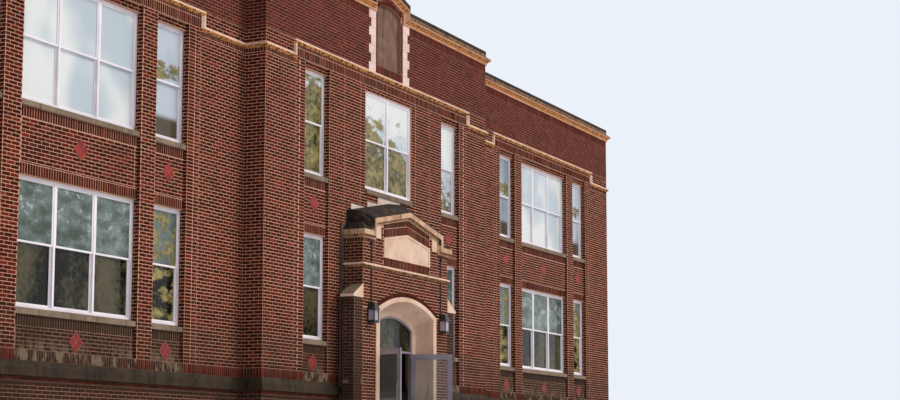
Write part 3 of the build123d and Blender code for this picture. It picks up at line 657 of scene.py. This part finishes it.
print("soldiers stand on the band from", band_head, "to", field_foot)


# %% The piers between the bays
def lay_pier(wall, face, start, end, opening_left, opening_right, raised):
    """Running bond between two openings; a wide pier has a straight-jointed strip beside each of them."""
    wide = end - start > wide_span
    left = start + strip if wide and opening_left else start
    right = end - strip if wide and opening_right else end
    for foot, head, wear in ((field_foot, dirty_head, 0.42), (dirty_head, bay_head, 0.0)):
        for a, b in ((start, left), (right, end)):
            if b > a:
                wall.lay(running(a, b, foot, head, stack=True), face, wear)
        inner_left, inner_right = max(left, -raised), min(right, raised)
        wall.lay(running(inner_left, inner_right, foot, head), face, wear)
        for a, b in ((left, min(right, -raised)), (max(left, raised), right)):
            if b > a:
                wall.lay(running(a, b, foot, min(head, rowlock_foot)), face, wear)
                if head > rowlock_foot:
                    wall.lay(soldiers(a, b, rowlock_foot, string_low), face, wear=0.15)


print("a straight-jointed strip is", strip, "m wide")


# %% One whole face of the school
def lay_to_string(wall, face, low, high, bays, raised, foot_wear):
    """A face from the ground to its string, between low and high; foot_wear is the lowest panels' wear."""
    lay_base(wall, face, low, high)
    lay_foot_soldiers(wall, face, low, high, bays)
    edges = bay_edges(low, high, bays)
    for start, end in zip(edges[::2], edges[1::2]):
        lay_pier(wall, face, start, end, start > low, end < high, raised)
    for middle, half in bays:
        lay_bay(wall, face, middle, half, (foot_wear, 0.08, 0.0))


def lay_under_cornice(wall, face, low, high, foot, cornice_foot):
    """Courses from foot up, and a soldier course under the cornice."""
    wall.lay(running(low, high, foot, cornice_foot - soldier_height), face)
    wall.lay(soldiers(low, high, cornice_foot - soldier_height, cornice_foot), face)


def lay_face(wall, face, low, high, bays, raised, parapet):
    """Everything on a straight front, from the ground to the cornice, between low and high."""
    lay_to_string(wall, face, low, high, bays, raised, foot_wear=0.85)
    top = string_high + string_height
    lay_under_string(wall, face, -raised, raised)
    for start, end in ((low, -raised - string_jog), (raised + string_jog, high)):
        wall.lay(running(start, end, string_low + string_height, top), face)
    lay_under_cornice(wall, face, low, high, top, parapet - cornice_height)


print("the scheme has", len(group), "bays to a wing")

# %% Lay the wings' front and both ends
wing_raised, centre_raised = 3.63, 4.255
long_part, short_part = half_length - wing_middle, wing_middle - centre_half
depth_half, end_middle = (back - wing_front) / 2, (wing_front + back) / 2
east, north = (1.0, 0.0), (0.0, 1.0)
west, south = (-1.0, 0.0), (0.0, -1.0)

wing_bricks = Masonry("bricks_wings_front")
for side in (-1, 1):
    face = ((side * wing_middle, wing_front), east, south)
    low, high = (-long_part, short_part) if side < 0 else (-short_part, long_part)
    lay_face(wing_bricks, face, low, high, group, wing_raised, wing_parapet)
wing_bricks.finish(fired_brick)

for name, side, along, out in (("bricks_end_left", -1, south, west), ("bricks_end_right", 1, north, east)):
    end_bricks = Masonry(name)
    face = ((side * half_length, end_middle), along, out)
    lay_face(end_bricks, face, -depth_half, depth_half, group, wing_raised, wing_parapet)
    end_bricks.finish(fired_brick)

# %% Lay the rear
rear_bricks = Masonry("bricks_rear_wings")
for middle, low, high in ((wing_middle, -long_part, short_part), (-wing_middle, -short_part, long_part)):
    lay_face(rear_bricks, ((middle, back), west, north), low, high, group, wing_raised, wing_parapet)
rear_bricks.finish(fired_brick)

rear_centre_bricks = Masonry("bricks_rear_centre")
rear_face = ((0.0, back), west, north)
lay_face(rear_centre_bricks, rear_face, -centre_half, centre_half, centre_group, centre_raised, wing_parapet)
rear_centre_bricks.finish(fired_brick)

# %% [markdown]
# ## The centre block and the porch
# The middle of the front is laid round its openings: the double window over the porch, the niche, the
# arch and the gable. Bricks whose middle falls inside an opening are left out, and the stone trim
# covers the cut ends, as it does on the real wall. From above the parapets show their inner faces too,
# so these get plain courses down to the roof.

# %% Arches
def arch(half, spring, rise):
    """Centre height and radius of the circle through both springs and the crown."""
    radius = (half * half + rise * rise) / (2 * rise)
    return spring + rise - radius, radius


def inside_arch(half, foot, spring, rise, margin):
    """A test for points in an arched opening, grown by a margin."""
    centre_z, radius = arch(half, spring, rise)

    def test(u, z):
        below = (np.abs(u) < half + margin) & (z > foot) & (z < spring)
        under_head = (z >= spring) & (np.hypot(u, z - centre_z) < radius + margin)
        return below | under_head

    return test


print("an arch 2 m wide that rises 0.5 m has a radius of", arch(1.0, 0.0, 0.5)[1], "m")

# %% The centre block's lines
centre_bricks = Masonry("bricks_centre_front")
centre_face = ((0.0, front), east, south)
niche_half, niche_foot = end_of("niche_panel", "+x"), end_of("niche_panel", "-z")
niche_spring, niche_rise = 10.51, 0.14
quoin_inner, quoin_foot, quoin_height = 0.685, end_of("niche_quoins", "-z"), 0.213
cornice_foot = centre_parapet - cornice_height
porch_half, trim_half = end_of("porch_gable_wall", "+x"), end_of("arch_surround", "+x")
beside_gable_foot, over_gable_foot = 4.1, 5.2
gable_run, gable_head, gable_peak, gable_fall = 0.69, 10.87, 10.84, 0.302
ring_height, ring_proud = 0.11, 0.007
print("the niche is", 2 * niche_half, "m wide")


# %% Beside the middle, and round the niche
def over_gable(u, z):
    """True over the niche gable's slopes, which fall away from their peak on both sides."""
    return z > gable_peak - gable_fall * np.abs(u)


def lay_centre_side(wall, side):
    """The forward block's front beside the middle, and what shows of it over the porch."""
    face = centre_face
    low, high = sorted((side * porch_half, side * centre_half))
    lay_to_string(wall, face, low, high, [(side * centre_bay, single_half)], centre_raised, foot_wear=0.65)
    low, high = sorted((side * (centre_raised + string_jog), side * centre_half))
    wall.lay(running(low, high, string_low + string_height, quoin_foot), face)
    low, high = sorted((side * double_half, side * (double_half + strip)))
    window_foot = sill_lines[1] - sill_height
    wall.lay(running(low, high, window_foot, bay_head, stack=True), face)
    low, high = sorted((side * (double_half + strip), side * porch_half))
    wall.lay(running(low, high, beside_gable_foot, bay_head), face)
    low, high = sorted((0.0, side * (double_half + strip)))
    wall.lay(running(low, high, over_gable_foot, window_foot), face)


def lay_round_niche(wall):
    """Everything over the string: field, soldiers, the strips beside the niche and its arch."""
    face = centre_face
    for side in (-1, 1):
        low, high = sorted((side * quoin_inner, side * centre_half))
        lay_under_cornice(wall, face, low, high, quoin_foot, cornice_foot)
        low, high = sorted((side * niche_half, side * quoin_inner))
        wall.lay(running(low, high, niche_foot, cornice_foot, stack=True), face)
    wall.lay(soldiers(-quoin_inner, quoin_inner, quoin_foot, niche_foot), face)
    niche = inside_arch(niche_half, niche_foot, niche_spring, niche_rise, margin=0.05)
    round_niche = outside(running(-gable_run, gable_run, cornice_foot, gable_head), niche)
    wall.lay(outside(round_niche, over_gable), face)
    crown, radius = arch(niche_half, niche_spring, niche_rise)
    reach = math.asin(niche_half / radius)
    wall.lay(voussoirs(crown, radius, radius + ring_height, reach), face, proud=ring_proud)


print("the niche's gable peaks at", gable_peak)


# %% The whole centre block
def lay_return(wall, side):
    """A narrow return of the centre block, with no openings, from the ground to the cornice."""
    face = ((side * centre_half, front), north, (float(side), 0.0))
    width = wing_front - front
    lay_base(wall, face, 0.0, width)
    lay_foot_soldiers(wall, face, 0.0, width, [])
    wall.lay(running(0.0, width, field_foot, rowlock_foot), face)
    wall.lay(soldiers(0.0, width, rowlock_foot, string_low), face, wear=0.15)
    lay_under_cornice(wall, face, 0.0, width, string_low + string_height, cornice_foot)


def lay_centre(wall):
    """The forward block's front and its two returns to the wings."""
    for side in (-1, 1):
        lay_centre_side(wall, side)
        lay_return(wall, side)
    window_head = sill_lines[1] + window_height
    wall.lay(running(-double_half, double_half, window_head, bay_head), centre_face)
    lay_under_string(wall, centre_face, -centre_raised, centre_raised)
    lay_round_niche(wall)


lay_centre(centre_bricks)
centre_bricks.finish(fired_brick)

# %% The porch's lines
porch_bricks = Masonry("bricks_porch")
porch_face = ((0.0, porch_front), east, south)
string_foot, porch_top = end_of("string_course", "-z"), end_of("porch_coping", "-z")
shoulder, apex, gable_half = 5.08, end_of("porch_gable_wall", "+z"), end_of("porch_kneelers", "+x")
stone_half, stone_side = end_of("name_stone", "+x"), 4.85
stone_foot, stone_apex = end_of("name_stone", "-z"), end_of("name_stone", "+z")
buttress, buttress_head, buttress_depth = 0.385, end_of("porch_piers", "+z"), 0.3
kneeler, porch_depth, behind_stone = 0.27, 0.5, 0.03
arch_spring, arch_rise, porch_ring_height = end_of("porch_gable_wall", "-z"), 0.38, 0.108
print("the arch springs at", arch_spring)


# %% Lay the porch
def lay_porch_side(wall, side):
    """One side of the porch: the pier, its buttress, the wall over it and the returns."""
    face = porch_face
    over_string = string_foot + string_height
    soldier_foot = porch_top - rowlock_height
    low, high = sorted((side * trim_half, side * porch_half))
    wall.lay(running(low, high, 0.0, arch_spring), face, wear=0.35)
    low, high = sorted((side * porch_half, side * (porch_half + buttress)))
    wall.lay(running(low, high, 0.0, buttress_head), face, wear=0.8)
    low, high = sorted((side * gable_half, side * porch_half))
    wall.lay(running(low, high, over_string, soldier_foot), face, wear=0.15)
    wall.lay(soldiers(low, high, soldier_foot, porch_top), face, wear=0.3)
    low, high = sorted((side * stone_half, side * gable_half))
    wall.lay(running(low, high, over_string, shoulder - kneeler), face, wear=0.12)
    low, high = sorted((side * stone_half, side * (gable_half - kneeler)))
    wall.lay(running(low, high, shoulder - kneeler, shoulder + behind_stone), face, wear=0.12)
    look = (float(side), 0.0)
    cheek = ((side * porch_half, porch_front), north, look)
    wall.lay(running(buttress_depth, porch_depth, 0.0, buttress_head), cheek, wear=0.8)
    wall.lay(running(0.0, porch_depth, buttress_head, string_foot), cheek, wear=0.5)
    wall.lay(running(0.0, porch_depth, over_string, soldier_foot), cheek, wear=0.35)
    wall.lay(soldiers(0.0, porch_depth, soldier_foot, porch_top), cheek, wear=0.45)
    buttress_cheek = ((side * (porch_half + buttress), porch_front), north, look)
    wall.lay(running(0.0, buttress_depth, 0.0, buttress_head), buttress_cheek, wear=0.85)
    buttress_back = ((side * porch_half, porch_front + buttress_depth), east, north)
    low, high = sorted((0.0, side * buttress))
    wall.lay(running(low, high, 0.0, buttress_head), buttress_back, wear=0.7)


def lay_porch(wall):
    """The porch's front, sides and buttresses, the arch ring and the rows round the name stone."""
    face = porch_face
    for side in (-1, 1):
        lay_porch_side(wall, side)
    doorway = inside_arch(trim_half, 0.0, arch_spring, arch_rise, margin=0.035)
    over_arch = outside(running(-porch_half, porch_half, arch_spring, string_foot), doorway)
    wall.lay(over_arch, face, wear=0.1)
    centre_z, radius = arch(trim_half, arch_spring, arch_rise)
    reach = math.asin(trim_half / radius)
    ring = voussoirs(centre_z, radius, radius + porch_ring_height, reach)
    wall.lay(ring, face, wear=0.3, proud=ring_proud)
    wall.lay(soldiers(-stone_half, stone_half, string_foot + string_height, stone_foot), face)
    slope = (stone_apex - stone_side) / stone_half
    foot, middle = (stone_apex, slope), (stone_apex + soldier_height, slope)
    head = (apex, (apex - shoulder) / gable_half)
    wall.lay(between(-stone_half, stone_half, foot, middle), face)
    wall.lay(between(-stone_half, stone_half, middle, head, rowlock_height), face, wear=0.3)


lay_porch(porch_bricks)
porch_bricks.finish(fired_brick)

# %% The inside of the parapets, seen from above
parapet_bricks = Masonry("bricks_parapet_inside")
thick, roof_line, inside_wear = 0.33, end_of("roof_slab", "+z"), 0.4
end_in, back_in, centre_in = half_length - thick, back - thick, centre_half - thick
wing_in, front_in = wing_front + thick, front + thick
wing_inside = ((0.0, wing_in), east, north)
centre_inside = ((0.0, front_in), east, north)
for face, low, high, head in (
    (((0.0, back_in), east, south), -end_in, end_in, wing_parapet),
    (((-end_in, 0.0), north, east), wing_in, back_in, wing_parapet),
    (((end_in, 0.0), north, west), wing_in, back_in, wing_parapet),
    (wing_inside, -end_in, -centre_half, wing_parapet),
    (wing_inside, centre_half, end_in, wing_parapet),
    (centre_inside, -centre_in, centre_in, centre_parapet),
):
    parapet_bricks.lay(running(low, high, roof_line, head), face, inside_wear)
gable_back = outside(running(-gable_run, gable_run, centre_parapet, gable_head), over_gable)
parapet_bricks.lay(gable_back, centre_inside, inside_wear)
for side in (-1, 1):
    jog = ((side * centre_in, 0.0), north, (-float(side), 0.0))
    parapet_bricks.lay(running(front_in, wing_in, roof_line, centre_parapet), jog, inside_wear)
    low, high = sorted((side * centre_in, side * centre_half))
    parapet_bricks.lay(running(low, high, roof_line, centre_parapet), wing_inside, inside_wear)
parapet_bricks.finish(fired_brick)

# %% [markdown]
# ## Stone
# The trim is cast stone: cream where rain keeps it clean, tan to brown under ledges, partly stain and
# partly painted shade, and near black on the tops of the copings, where lichen and soot settle. One
# recipe makes all of them. A ramp of two colours by cloudy noise gives the mass, streaks are noise
# stretched upright, and joints are thin dark lines at the length of a cast block.

# %% Colours of stone
cream, cream_dark = srgb(240, 208, 186), srgb(206, 168, 144)
# tan and gold colour the stone's undersides: partly stain and partly painted shade
tan, gold = srgb(158, 114, 76), srgb(212, 142, 80)
soil = srgb(24, 19, 16)
print("cream is", [round(v, 2) for v in cream[:3]], "in linear light")


# %% The recipe for stone
def seams(distance, pitch, half_width):
    """1 on a thin line at every pitch of a distance in metres, and 0 between the lines."""
    from_middle = ((distance / pitch).fraction() - 0.5).size()
    return from_middle.ramp(0.5 - half_width / pitch, 0.5 - 0.002 / pitch)


def stone_finish(name, light, dark, stain, stained, top_dark=0.0, west_above=None, under=None, spots=0.6,
                 feet=(), joints=None, bed=None):
    """Cast stone: clouds, runs of stain, darker tops, under ledges a colour of stain and painted shade,
    joints in metres.

    stained is the share of runs and top_dark the dark on what looks up, both from 0 to 1. What looks west
    over west_above is dark too. under is the colour of undersides and of the lower edges at feet, partly
    stain and partly painted shade, with spots of stain. joints is the length of a block, and bed is the
    foot and the height of its courses.
    """
    finish = Finish(name, roughness=0.85, Specular_IOR_Level=0.25)
    clouds = finish.noise(2.2, detail=5.0)
    grain = finish.noise(95.0, detail=4.0)
    streaks = finish.noise(9.0, detail=4.0, stretch=(1.0, 1.0, 0.12))
    mass = (clouds * 0.6 + grain * 0.4).ramp(0.32, 0.66).tint(dark, light)
    upward, eastward = finish.part(finish.facing, "Z"), finish.part(finish.facing, "X")
    # Undersides and lower edges take the under colour, partly stain and partly painted shade, with spots of
    # stain.
    if under:
        spotted = finish.noise(13.0, detail=4.0).ramp(0.48, 0.58) * spots
        underside_stain_and_shade = upward.ramp(-0.12, -0.5)
        for foot in feet:
            lower_edge = finish.z.ramp(foot - 0.01, foot) * finish.z.ramp(foot + 0.064, foot + 0.05)
            underside_stain_and_shade = underside_stain_and_shade.larger(lower_edge)
        warm = finish.z.ramp(4.6, 6.0).tint(tan, under)
        mass = underside_stain_and_shade.tint(mass, spotted.tint(warm, stain))
    weathered = upward.ramp(0.15, 0.6) * top_dark
    if west_above:
        west = eastward.ramp(-0.3, -0.6) * finish.z.ramp(west_above, west_above + 0.06) * 1.3
        weathered = weathered.larger(west)
    runs = streaks.ramp(0.66 - stained * 0.35, 0.8 - stained * 0.2) * (0.35 + stained * 0.65)
    blotches = finish.noise(6.0, detail=4.0).ramp(0.45, 0.7) * 0.14
    marks = runs.larger(weathered) * (grain.ramp(0.15, 0.45) * 0.6 + 0.4)
    coat = marks.tint(mass, blotches.tint(stain, dark))
    height = clouds * 0.5 + grain * 0.5
    if joints:
        seam = seams(finish.x + finish.y, joints, 0.007) * (1.0 - upward.size().ramp(0.5, 0.9))
        coat = (seam * 0.7).tint(coat, srgb(84, 70, 58))
        height = height - seam * 0.8
    if bed:
        foot, pitch = bed
        seam = seams(finish.z - foot, pitch, 0.006)
        coat = (seam * 0.6).tint(coat, srgb(128, 104, 92))
        height = height - seam * 0.8
    finish.colour(coat)
    finish.bump(height, 0.003)
    return finish


print("one recipe makes every stone")

# %% Nine stones
limestone = stone_finish("limestone", srgb(232, 202, 180), cream_dark, srgb(120, 92, 64), 0.16)
limestone.dress("arch_surround", "name_stone", "porch_kneelers")
stone_finish(
    "string_stone", cream, cream_dark, srgb(62, 40, 26), 0.25,
    under=gold, spots=0.85, feet=(string_foot, string_low, string_high), joints=0.9,
).dress("string_course")
stone_finish(
    "cornice_stone", srgb(222, 170, 138), srgb(186, 130, 100), srgb(96, 62, 38), 0.2,
    under=gold, joints=0.9,
).dress("cornice_wings", "cornice_centre")
stone_finish(
    "quoin_stone", srgb(240, 214, 206), srgb(218, 186, 176), srgb(160, 128, 112), 0.1,
    bed=(quoin_foot, quoin_height),
).dress("niche_quoins")
stone_finish(
    "porch_cap_stone", srgb(222, 186, 154), srgb(160, 118, 86), soil, 0.36,
    top_dark=1.0, west_above=4.96, under=tan, joints=0.95,
).dress("porch_coping")
stone_finish(
    "buttress_stone", cream, cream_dark, srgb(98, 80, 70), 0.25, top_dark=0.92
).dress("buttress_caps")
stone_finish(
    "band_stone", srgb(66, 51, 33), srgb(34, 26, 16), srgb(18, 14, 9), 0.6, joints=1.2
).dress("water_table", "entrance_step")
stone_finish(
    "sill_stone", srgb(144, 124, 104), srgb(108, 92, 76), srgb(60, 50, 40), 0.42, joints=1.3
).dress("window_sills")
lip = 0.035
stone_finish(
    "coping_stone", srgb(62, 50, 42), srgb(38, 31, 26), srgb(22, 18, 16), 0.5,
    under=tan, feet=(wing_parapet - lip, centre_parapet - lip), joints=0.8,
).dress("coping_wings", "coping_centre")
print("nine stone finishes")

# %% [markdown]
# ## Render, concrete, roofing and tile
# The niche is rendered, the floors are concrete and the flat roof is felt with mineral grit. All three
# are coats that were spread by hand, so one recipe of clouds, runs and grain serves them, with a scale
# for each. The red diamonds in the panels are glazed clay: four small tiles each, in pinkish grout.
# Lines on one large tile would do from afar, but real joints cast a shade and cost no more, because the
# bricklayer's code lays a tile as a thin brick that stands on its point.

# %% Render, concrete, roofing and tile
def plaster_finish(name, light, dark, scale, depth):
    """A flat coat with clouds and a fine grain."""
    finish = Finish(name, roughness=0.92, Specular_IOR_Level=0.25)
    clouds = finish.noise(scale, detail=6.0)
    grain = finish.noise(180.0)
    streaks = finish.noise(7.0, detail=4.0, stretch=(1.0, 1.0, 0.1))
    mix = (clouds * 0.5 + streaks * 0.3 + grain * 0.2).ramp(0.36, 0.62)
    finish.colour(mix.tint(dark, light))
    finish.bump(clouds * 0.5 + grain * 0.5, depth)
    return finish


niche_render = plaster_finish("niche_render", srgb(136, 104, 88), srgb(98, 74, 60), 3.0, 0.003)
niche_render.dress("niche_panel")
floor_concrete = plaster_finish("floor_concrete", srgb(158, 152, 144), srgb(126, 121, 114), 1.4, 0.002)
floor_concrete.dress("ground_slab", "first_floor", "upper_floor")
plaster_finish("roof_felt", srgb(92, 92, 92), srgb(62, 62, 64), 1.1, 0.004).dress("roof_slab")
print("render, concrete and felt are on")


# %% Glazed tile and its grout
def tile_finish():
    """Glazed red clay, a little different in each small tile."""
    finish = Finish("red_tile", roughness=0.5, Specular_IOR_Level=0.25)
    tone = finish.attribute("tone")
    clouds = finish.noise(12.0, detail=4.0)
    shade = tone * 0.5 + clouds * 0.5
    weathered = finish.z.ramp(3.0, 2.2).tint(srgb(158, 44, 36), srgb(128, 40, 34))
    finish.colour(shade.ramp(0.1, 0.9).tint(srgb(116, 26, 22), weathered))
    finish.bump(clouds, 0.002)
    return finish


red_tile = tile_finish()
plaster_finish("tile_grout", srgb(164, 98, 84), srgb(130, 70, 58), 8.0, 0.001).dress("spandrel_tiles")
print("the tiles' grout is on")

# %% Four small tiles to a diamond
tile_heights, tile_reach, tile_depth = (1.87, 5.39), 0.194, 0.012


def diamond(u, z, reach):
    """Four small diamonds that fill one large one with its middle at u, z."""
    half = reach / 2
    corners = np.array([(-half, 0.0), (0.0, -half), (half, 0.0), (0.0, half)])
    middles = np.array([(u - half, z), (u + half, z), (u, z - half), (u, z + half)])
    return middles[:, None, :] + corners[None, :, :]


def tile_face(tiles, face, bays):
    """The diamonds of one facade: one under each lower window and one between the storeys."""
    for middle, _ in bays:
        for height in tile_heights:
            tiles.lay(diamond(middle, height, tile_reach), face, depth=recess - tile_depth, proud=0.001)


tiled_faces = [
    (((-wing_middle, wing_front), east, south), group),
    (((wing_middle, wing_front), east, south), group),
    (((0.0, front), east, south), centre_group[::2]),
    (((-half_length, end_middle), south, west), group),
    (((half_length, end_middle), north, east), group),
    (((wing_middle, back), west, north), group),
    (((0.0, back), west, north), centre_group),
    (((-wing_middle, back), west, north), group),
]
spandrel_tiles = Masonry("small_tiles", "red_tile")
for face, bays in tiled_faces:
    tile_face(spandrel_tiles, face, bays)
spandrel_tiles.finish(red_tile)

# %% [markdown]
# ## Paint, metal and glass
# The sashes wear many coats of white that has cooled towards lilac and greyed here and there. The
# doors are a satin lilac grey. Upstairs the panes mirror a bright sky, with trees at the centre block,
# and downstairs they show blinds over dim rooms. The narrow panes of the front's wings mirror a greyer
# sky and golden boughs. A building stands among things that a studio lacks, so what its panes mirror is
# painted as the pane's own colour, and only the gloss over it is the shader's.

# %% Paint and metal
def paint_finish(name, light, dark, grime, roughness):
    """A coat of paint with faint brush clouds and grime in patches."""
    finish = Finish(name, roughness=roughness)
    clouds = finish.noise(1.3, detail=3.0)
    specks = finish.noise(70.0, detail=4.0)
    base = clouds.ramp(0.3, 0.7).tint(dark, light)
    dirt = specks.ramp(0.6, 0.75) * clouds.ramp(0.4, 0.65)
    finish.colour((dirt * 0.3).tint(base, grime))
    finish.bump(specks, 0.0006)
    return finish


sash_paint = paint_finish("sash_paint", srgb(246, 240, 244), srgb(230, 222, 230), srgb(170, 160, 160), 0.45)
sash_paint.dress("window_frames_front", "window_frames_sides")
door_paint = paint_finish("door_paint", srgb(158, 146, 158), srgb(128, 118, 130), srgb(84, 76, 80), 0.38)
door_paint.dress("door_frame", "door_left", "door_right")
black_paint = paint_finish("black_paint", srgb(40, 38, 38), srgb(24, 23, 24), srgb(70, 64, 58), 0.5)
black_paint.dress("lantern_bodies", "lantern_conduits")
# The downspouts' grey-brown paint is darkened here by painted shade, for the shadow they stand in beside the
# porch.
pipe_paint = paint_finish("pipe_paint", srgb(92, 78, 68), srgb(66, 56, 48), srgb(44, 37, 32), 0.6)
pipe_paint.dress("downspouts")
milk_glass = paint_finish("lantern_glass", srgb(184, 172, 184), srgb(150, 140, 152), srgb(96, 90, 96), 0.25)
milk_glass.dress("lantern_lenses")
sheet_lead = paint_finish("flashing_lead", srgb(226, 208, 192), srgb(190, 170, 152), srgb(120, 104, 92), 0.55)
sheet_lead.dress("porch_flashing")
print("sashes, doors, lanterns, pipes and lead have their coats")


# %% Panes
def pane_finish():
    """Sky and trees mirrored upstairs, blinds and dim rooms downstairs, under a clear gloss.

    centre, wing and single are 1 on the centre block's front, on the front's wings and on the narrow
    panes of those wings. The rails between the sashes lie at 3.55 and 7.2 m.
    """
    finish = Finish("window_pane", roughness=0.08, IOR=1.5, Specular_IOR_Level=0.2)
    drift = finish.noise(0.55, detail=2.0, stretch=(1.0, 1.0, 0.8))
    boughs = finish.noise(2.4, detail=8.0, stretch=(1.0, 1.0, 1.7), roughness=0.65)
    needles = finish.noise(9.0, detail=5.0, roughness=0.7)
    sky = drift.ramp(0.4, 0.58).tint(srgb(186, 198, 206), srgb(226, 230, 228))
    leaves = (needles * 0.45 + boughs * 0.55).ramp(0.38, 0.64).tint(srgb(44, 44, 24), srgb(160, 146, 92))
    centre = finish.y.ramp(-7.5, -7.9)
    wing = finish.y.ramp(-7.0, -7.3) * (1.0 - centre)
    single = (finish.x.size() - wing_middle).size().ramp(1.75, 1.85) * wing
    bright = drift.ramp(0.42, 0.58).tint(srgb(140, 150, 162), srgb(188, 198, 210))
    dusky = finish.z.ramp(6.6, 6.45).tint(bright, srgb(82, 74, 60))
    sky = single.tint(sky, dusky)
    cover_centre = 0.65 + (7.25 - finish.z) * 0.6 - finish.x * 0.15
    crown = (finish.z - 7.45).size().ramp(0.34, 0.1) * single
    cover = centre * cover_centre - (1.0 - centre) * 0.3 + crown * 0.9
    upstairs = ((boughs - 0.5) * 2.5 + cover).ramp(0.35, 0.65).tint(sky, leaves)
    # Painted reflections: boughs mottle the blinds, and glints of sky lie over them as painted highlights.
    # The room in the lower sashes is painted dark, as painted shade.
    blinds = (drift * 0.4 + boughs * 0.6).ramp(0.38, 0.6).tint(srgb(68, 80, 70), srgb(120, 134, 130))
    glints = (needles * 0.5 + boughs * 0.5).ramp(0.53, 0.6) * finish.z.ramp(3.4, 4.3)
    blinds = (glints * 0.55).tint(blinds, srgb(186, 200, 204))
    depths = finish.noise(0.9, detail=2.0, stretch=(1.0, 1.0, 0.4))
    room = (depths * 0.6 + needles * 0.4).ramp(0.42, 0.6).tint(srgb(18, 18, 10), srgb(84, 78, 58))
    downstairs = finish.z.ramp(3.53, 3.57).tint(room, blinds)
    golden = ((boughs - 0.5) * 2.5 + 0.5).ramp(0.35, 0.65) * single
    downstairs = golden.tint(downstairs, leaves)
    finish.colour(finish.z.ramp(5.6, 5.9).tint(downstairs, upstairs))
    return finish


def clear_finish():
    """Clear glass for the open leaves: mostly see-through, with a faint grey body."""
    finish = Finish("clear_pane", roughness=0.05, IOR=1.5, Alpha=0.22)
    finish.shader.inputs["Base Color"].default_value = srgb(120, 130, 128)
    return finish


pane_finish().dress("window_glass_front", "window_glass_sides", "fanlight_glass")
clear_finish().dress("door_left_glass", "door_right_glass")
print("panes are in")

# %% [markdown]
# ## The floor
# The camera stands lower than the ground line, so the floor is a finite disc that ends before it
# reaches the camera, with a rim that fades out.

# %% Floor
def floor_disc(radius, rings=48, spokes=128):
    """A flat disc just under the ground line: point (i, j) is at radius r_i and angle a_j."""
    r = np.linspace(0.0, radius, rings)[:, None]
    a = np.linspace(0.0, 2 * np.pi, spokes, endpoint=False)[None, :]
    points = np.stack([r * np.cos(a), r * np.sin(a), np.full((rings, spokes), -0.002)], -1).reshape(-1, 3)
    i, j = np.meshgrid(np.arange(rings - 1), np.arange(spokes), indexing="ij")
    k = (j + 1) % spokes
    faces = np.stack([i * spokes + j, (i + 1) * spokes + j, (i + 1) * spokes + k, i * spokes + k], -1)
    mesh = bpy.data.meshes.new("floor")
    mesh.from_pydata(points, [], faces.reshape(-1, 4).tolist())
    floor = bpy.data.objects.new("floor", mesh)
    bpy.context.scene.collection.objects.link(floor)
    return floor


def floor_finish(inner_edge, outer_edge):
    """Pale grey, solid up to inner_edge and clear from outer_edge on."""
    finish = Finish("floor", roughness=0.9)
    finish.shader.inputs["Base Color"].default_value = (0.78, 0.79, 0.8, 1.0)
    distance = finish.any.node("ShaderNodeVectorMath", {"operation": "LENGTH"}, out="Value", in0=finish.place)
    finish.feed("Alpha", distance.ramp(outer_edge, inner_edge))
    return finish


fade_radius, floor_radius = 28.0, 34.0
floor = floor_disc(floor_radius)
floor.data.materials.append(floor_finish(fade_radius, floor_radius).material)
floor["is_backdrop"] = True
print("floor radius", floor_radius, "m")

# %% Sizes, and the end
low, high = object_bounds()
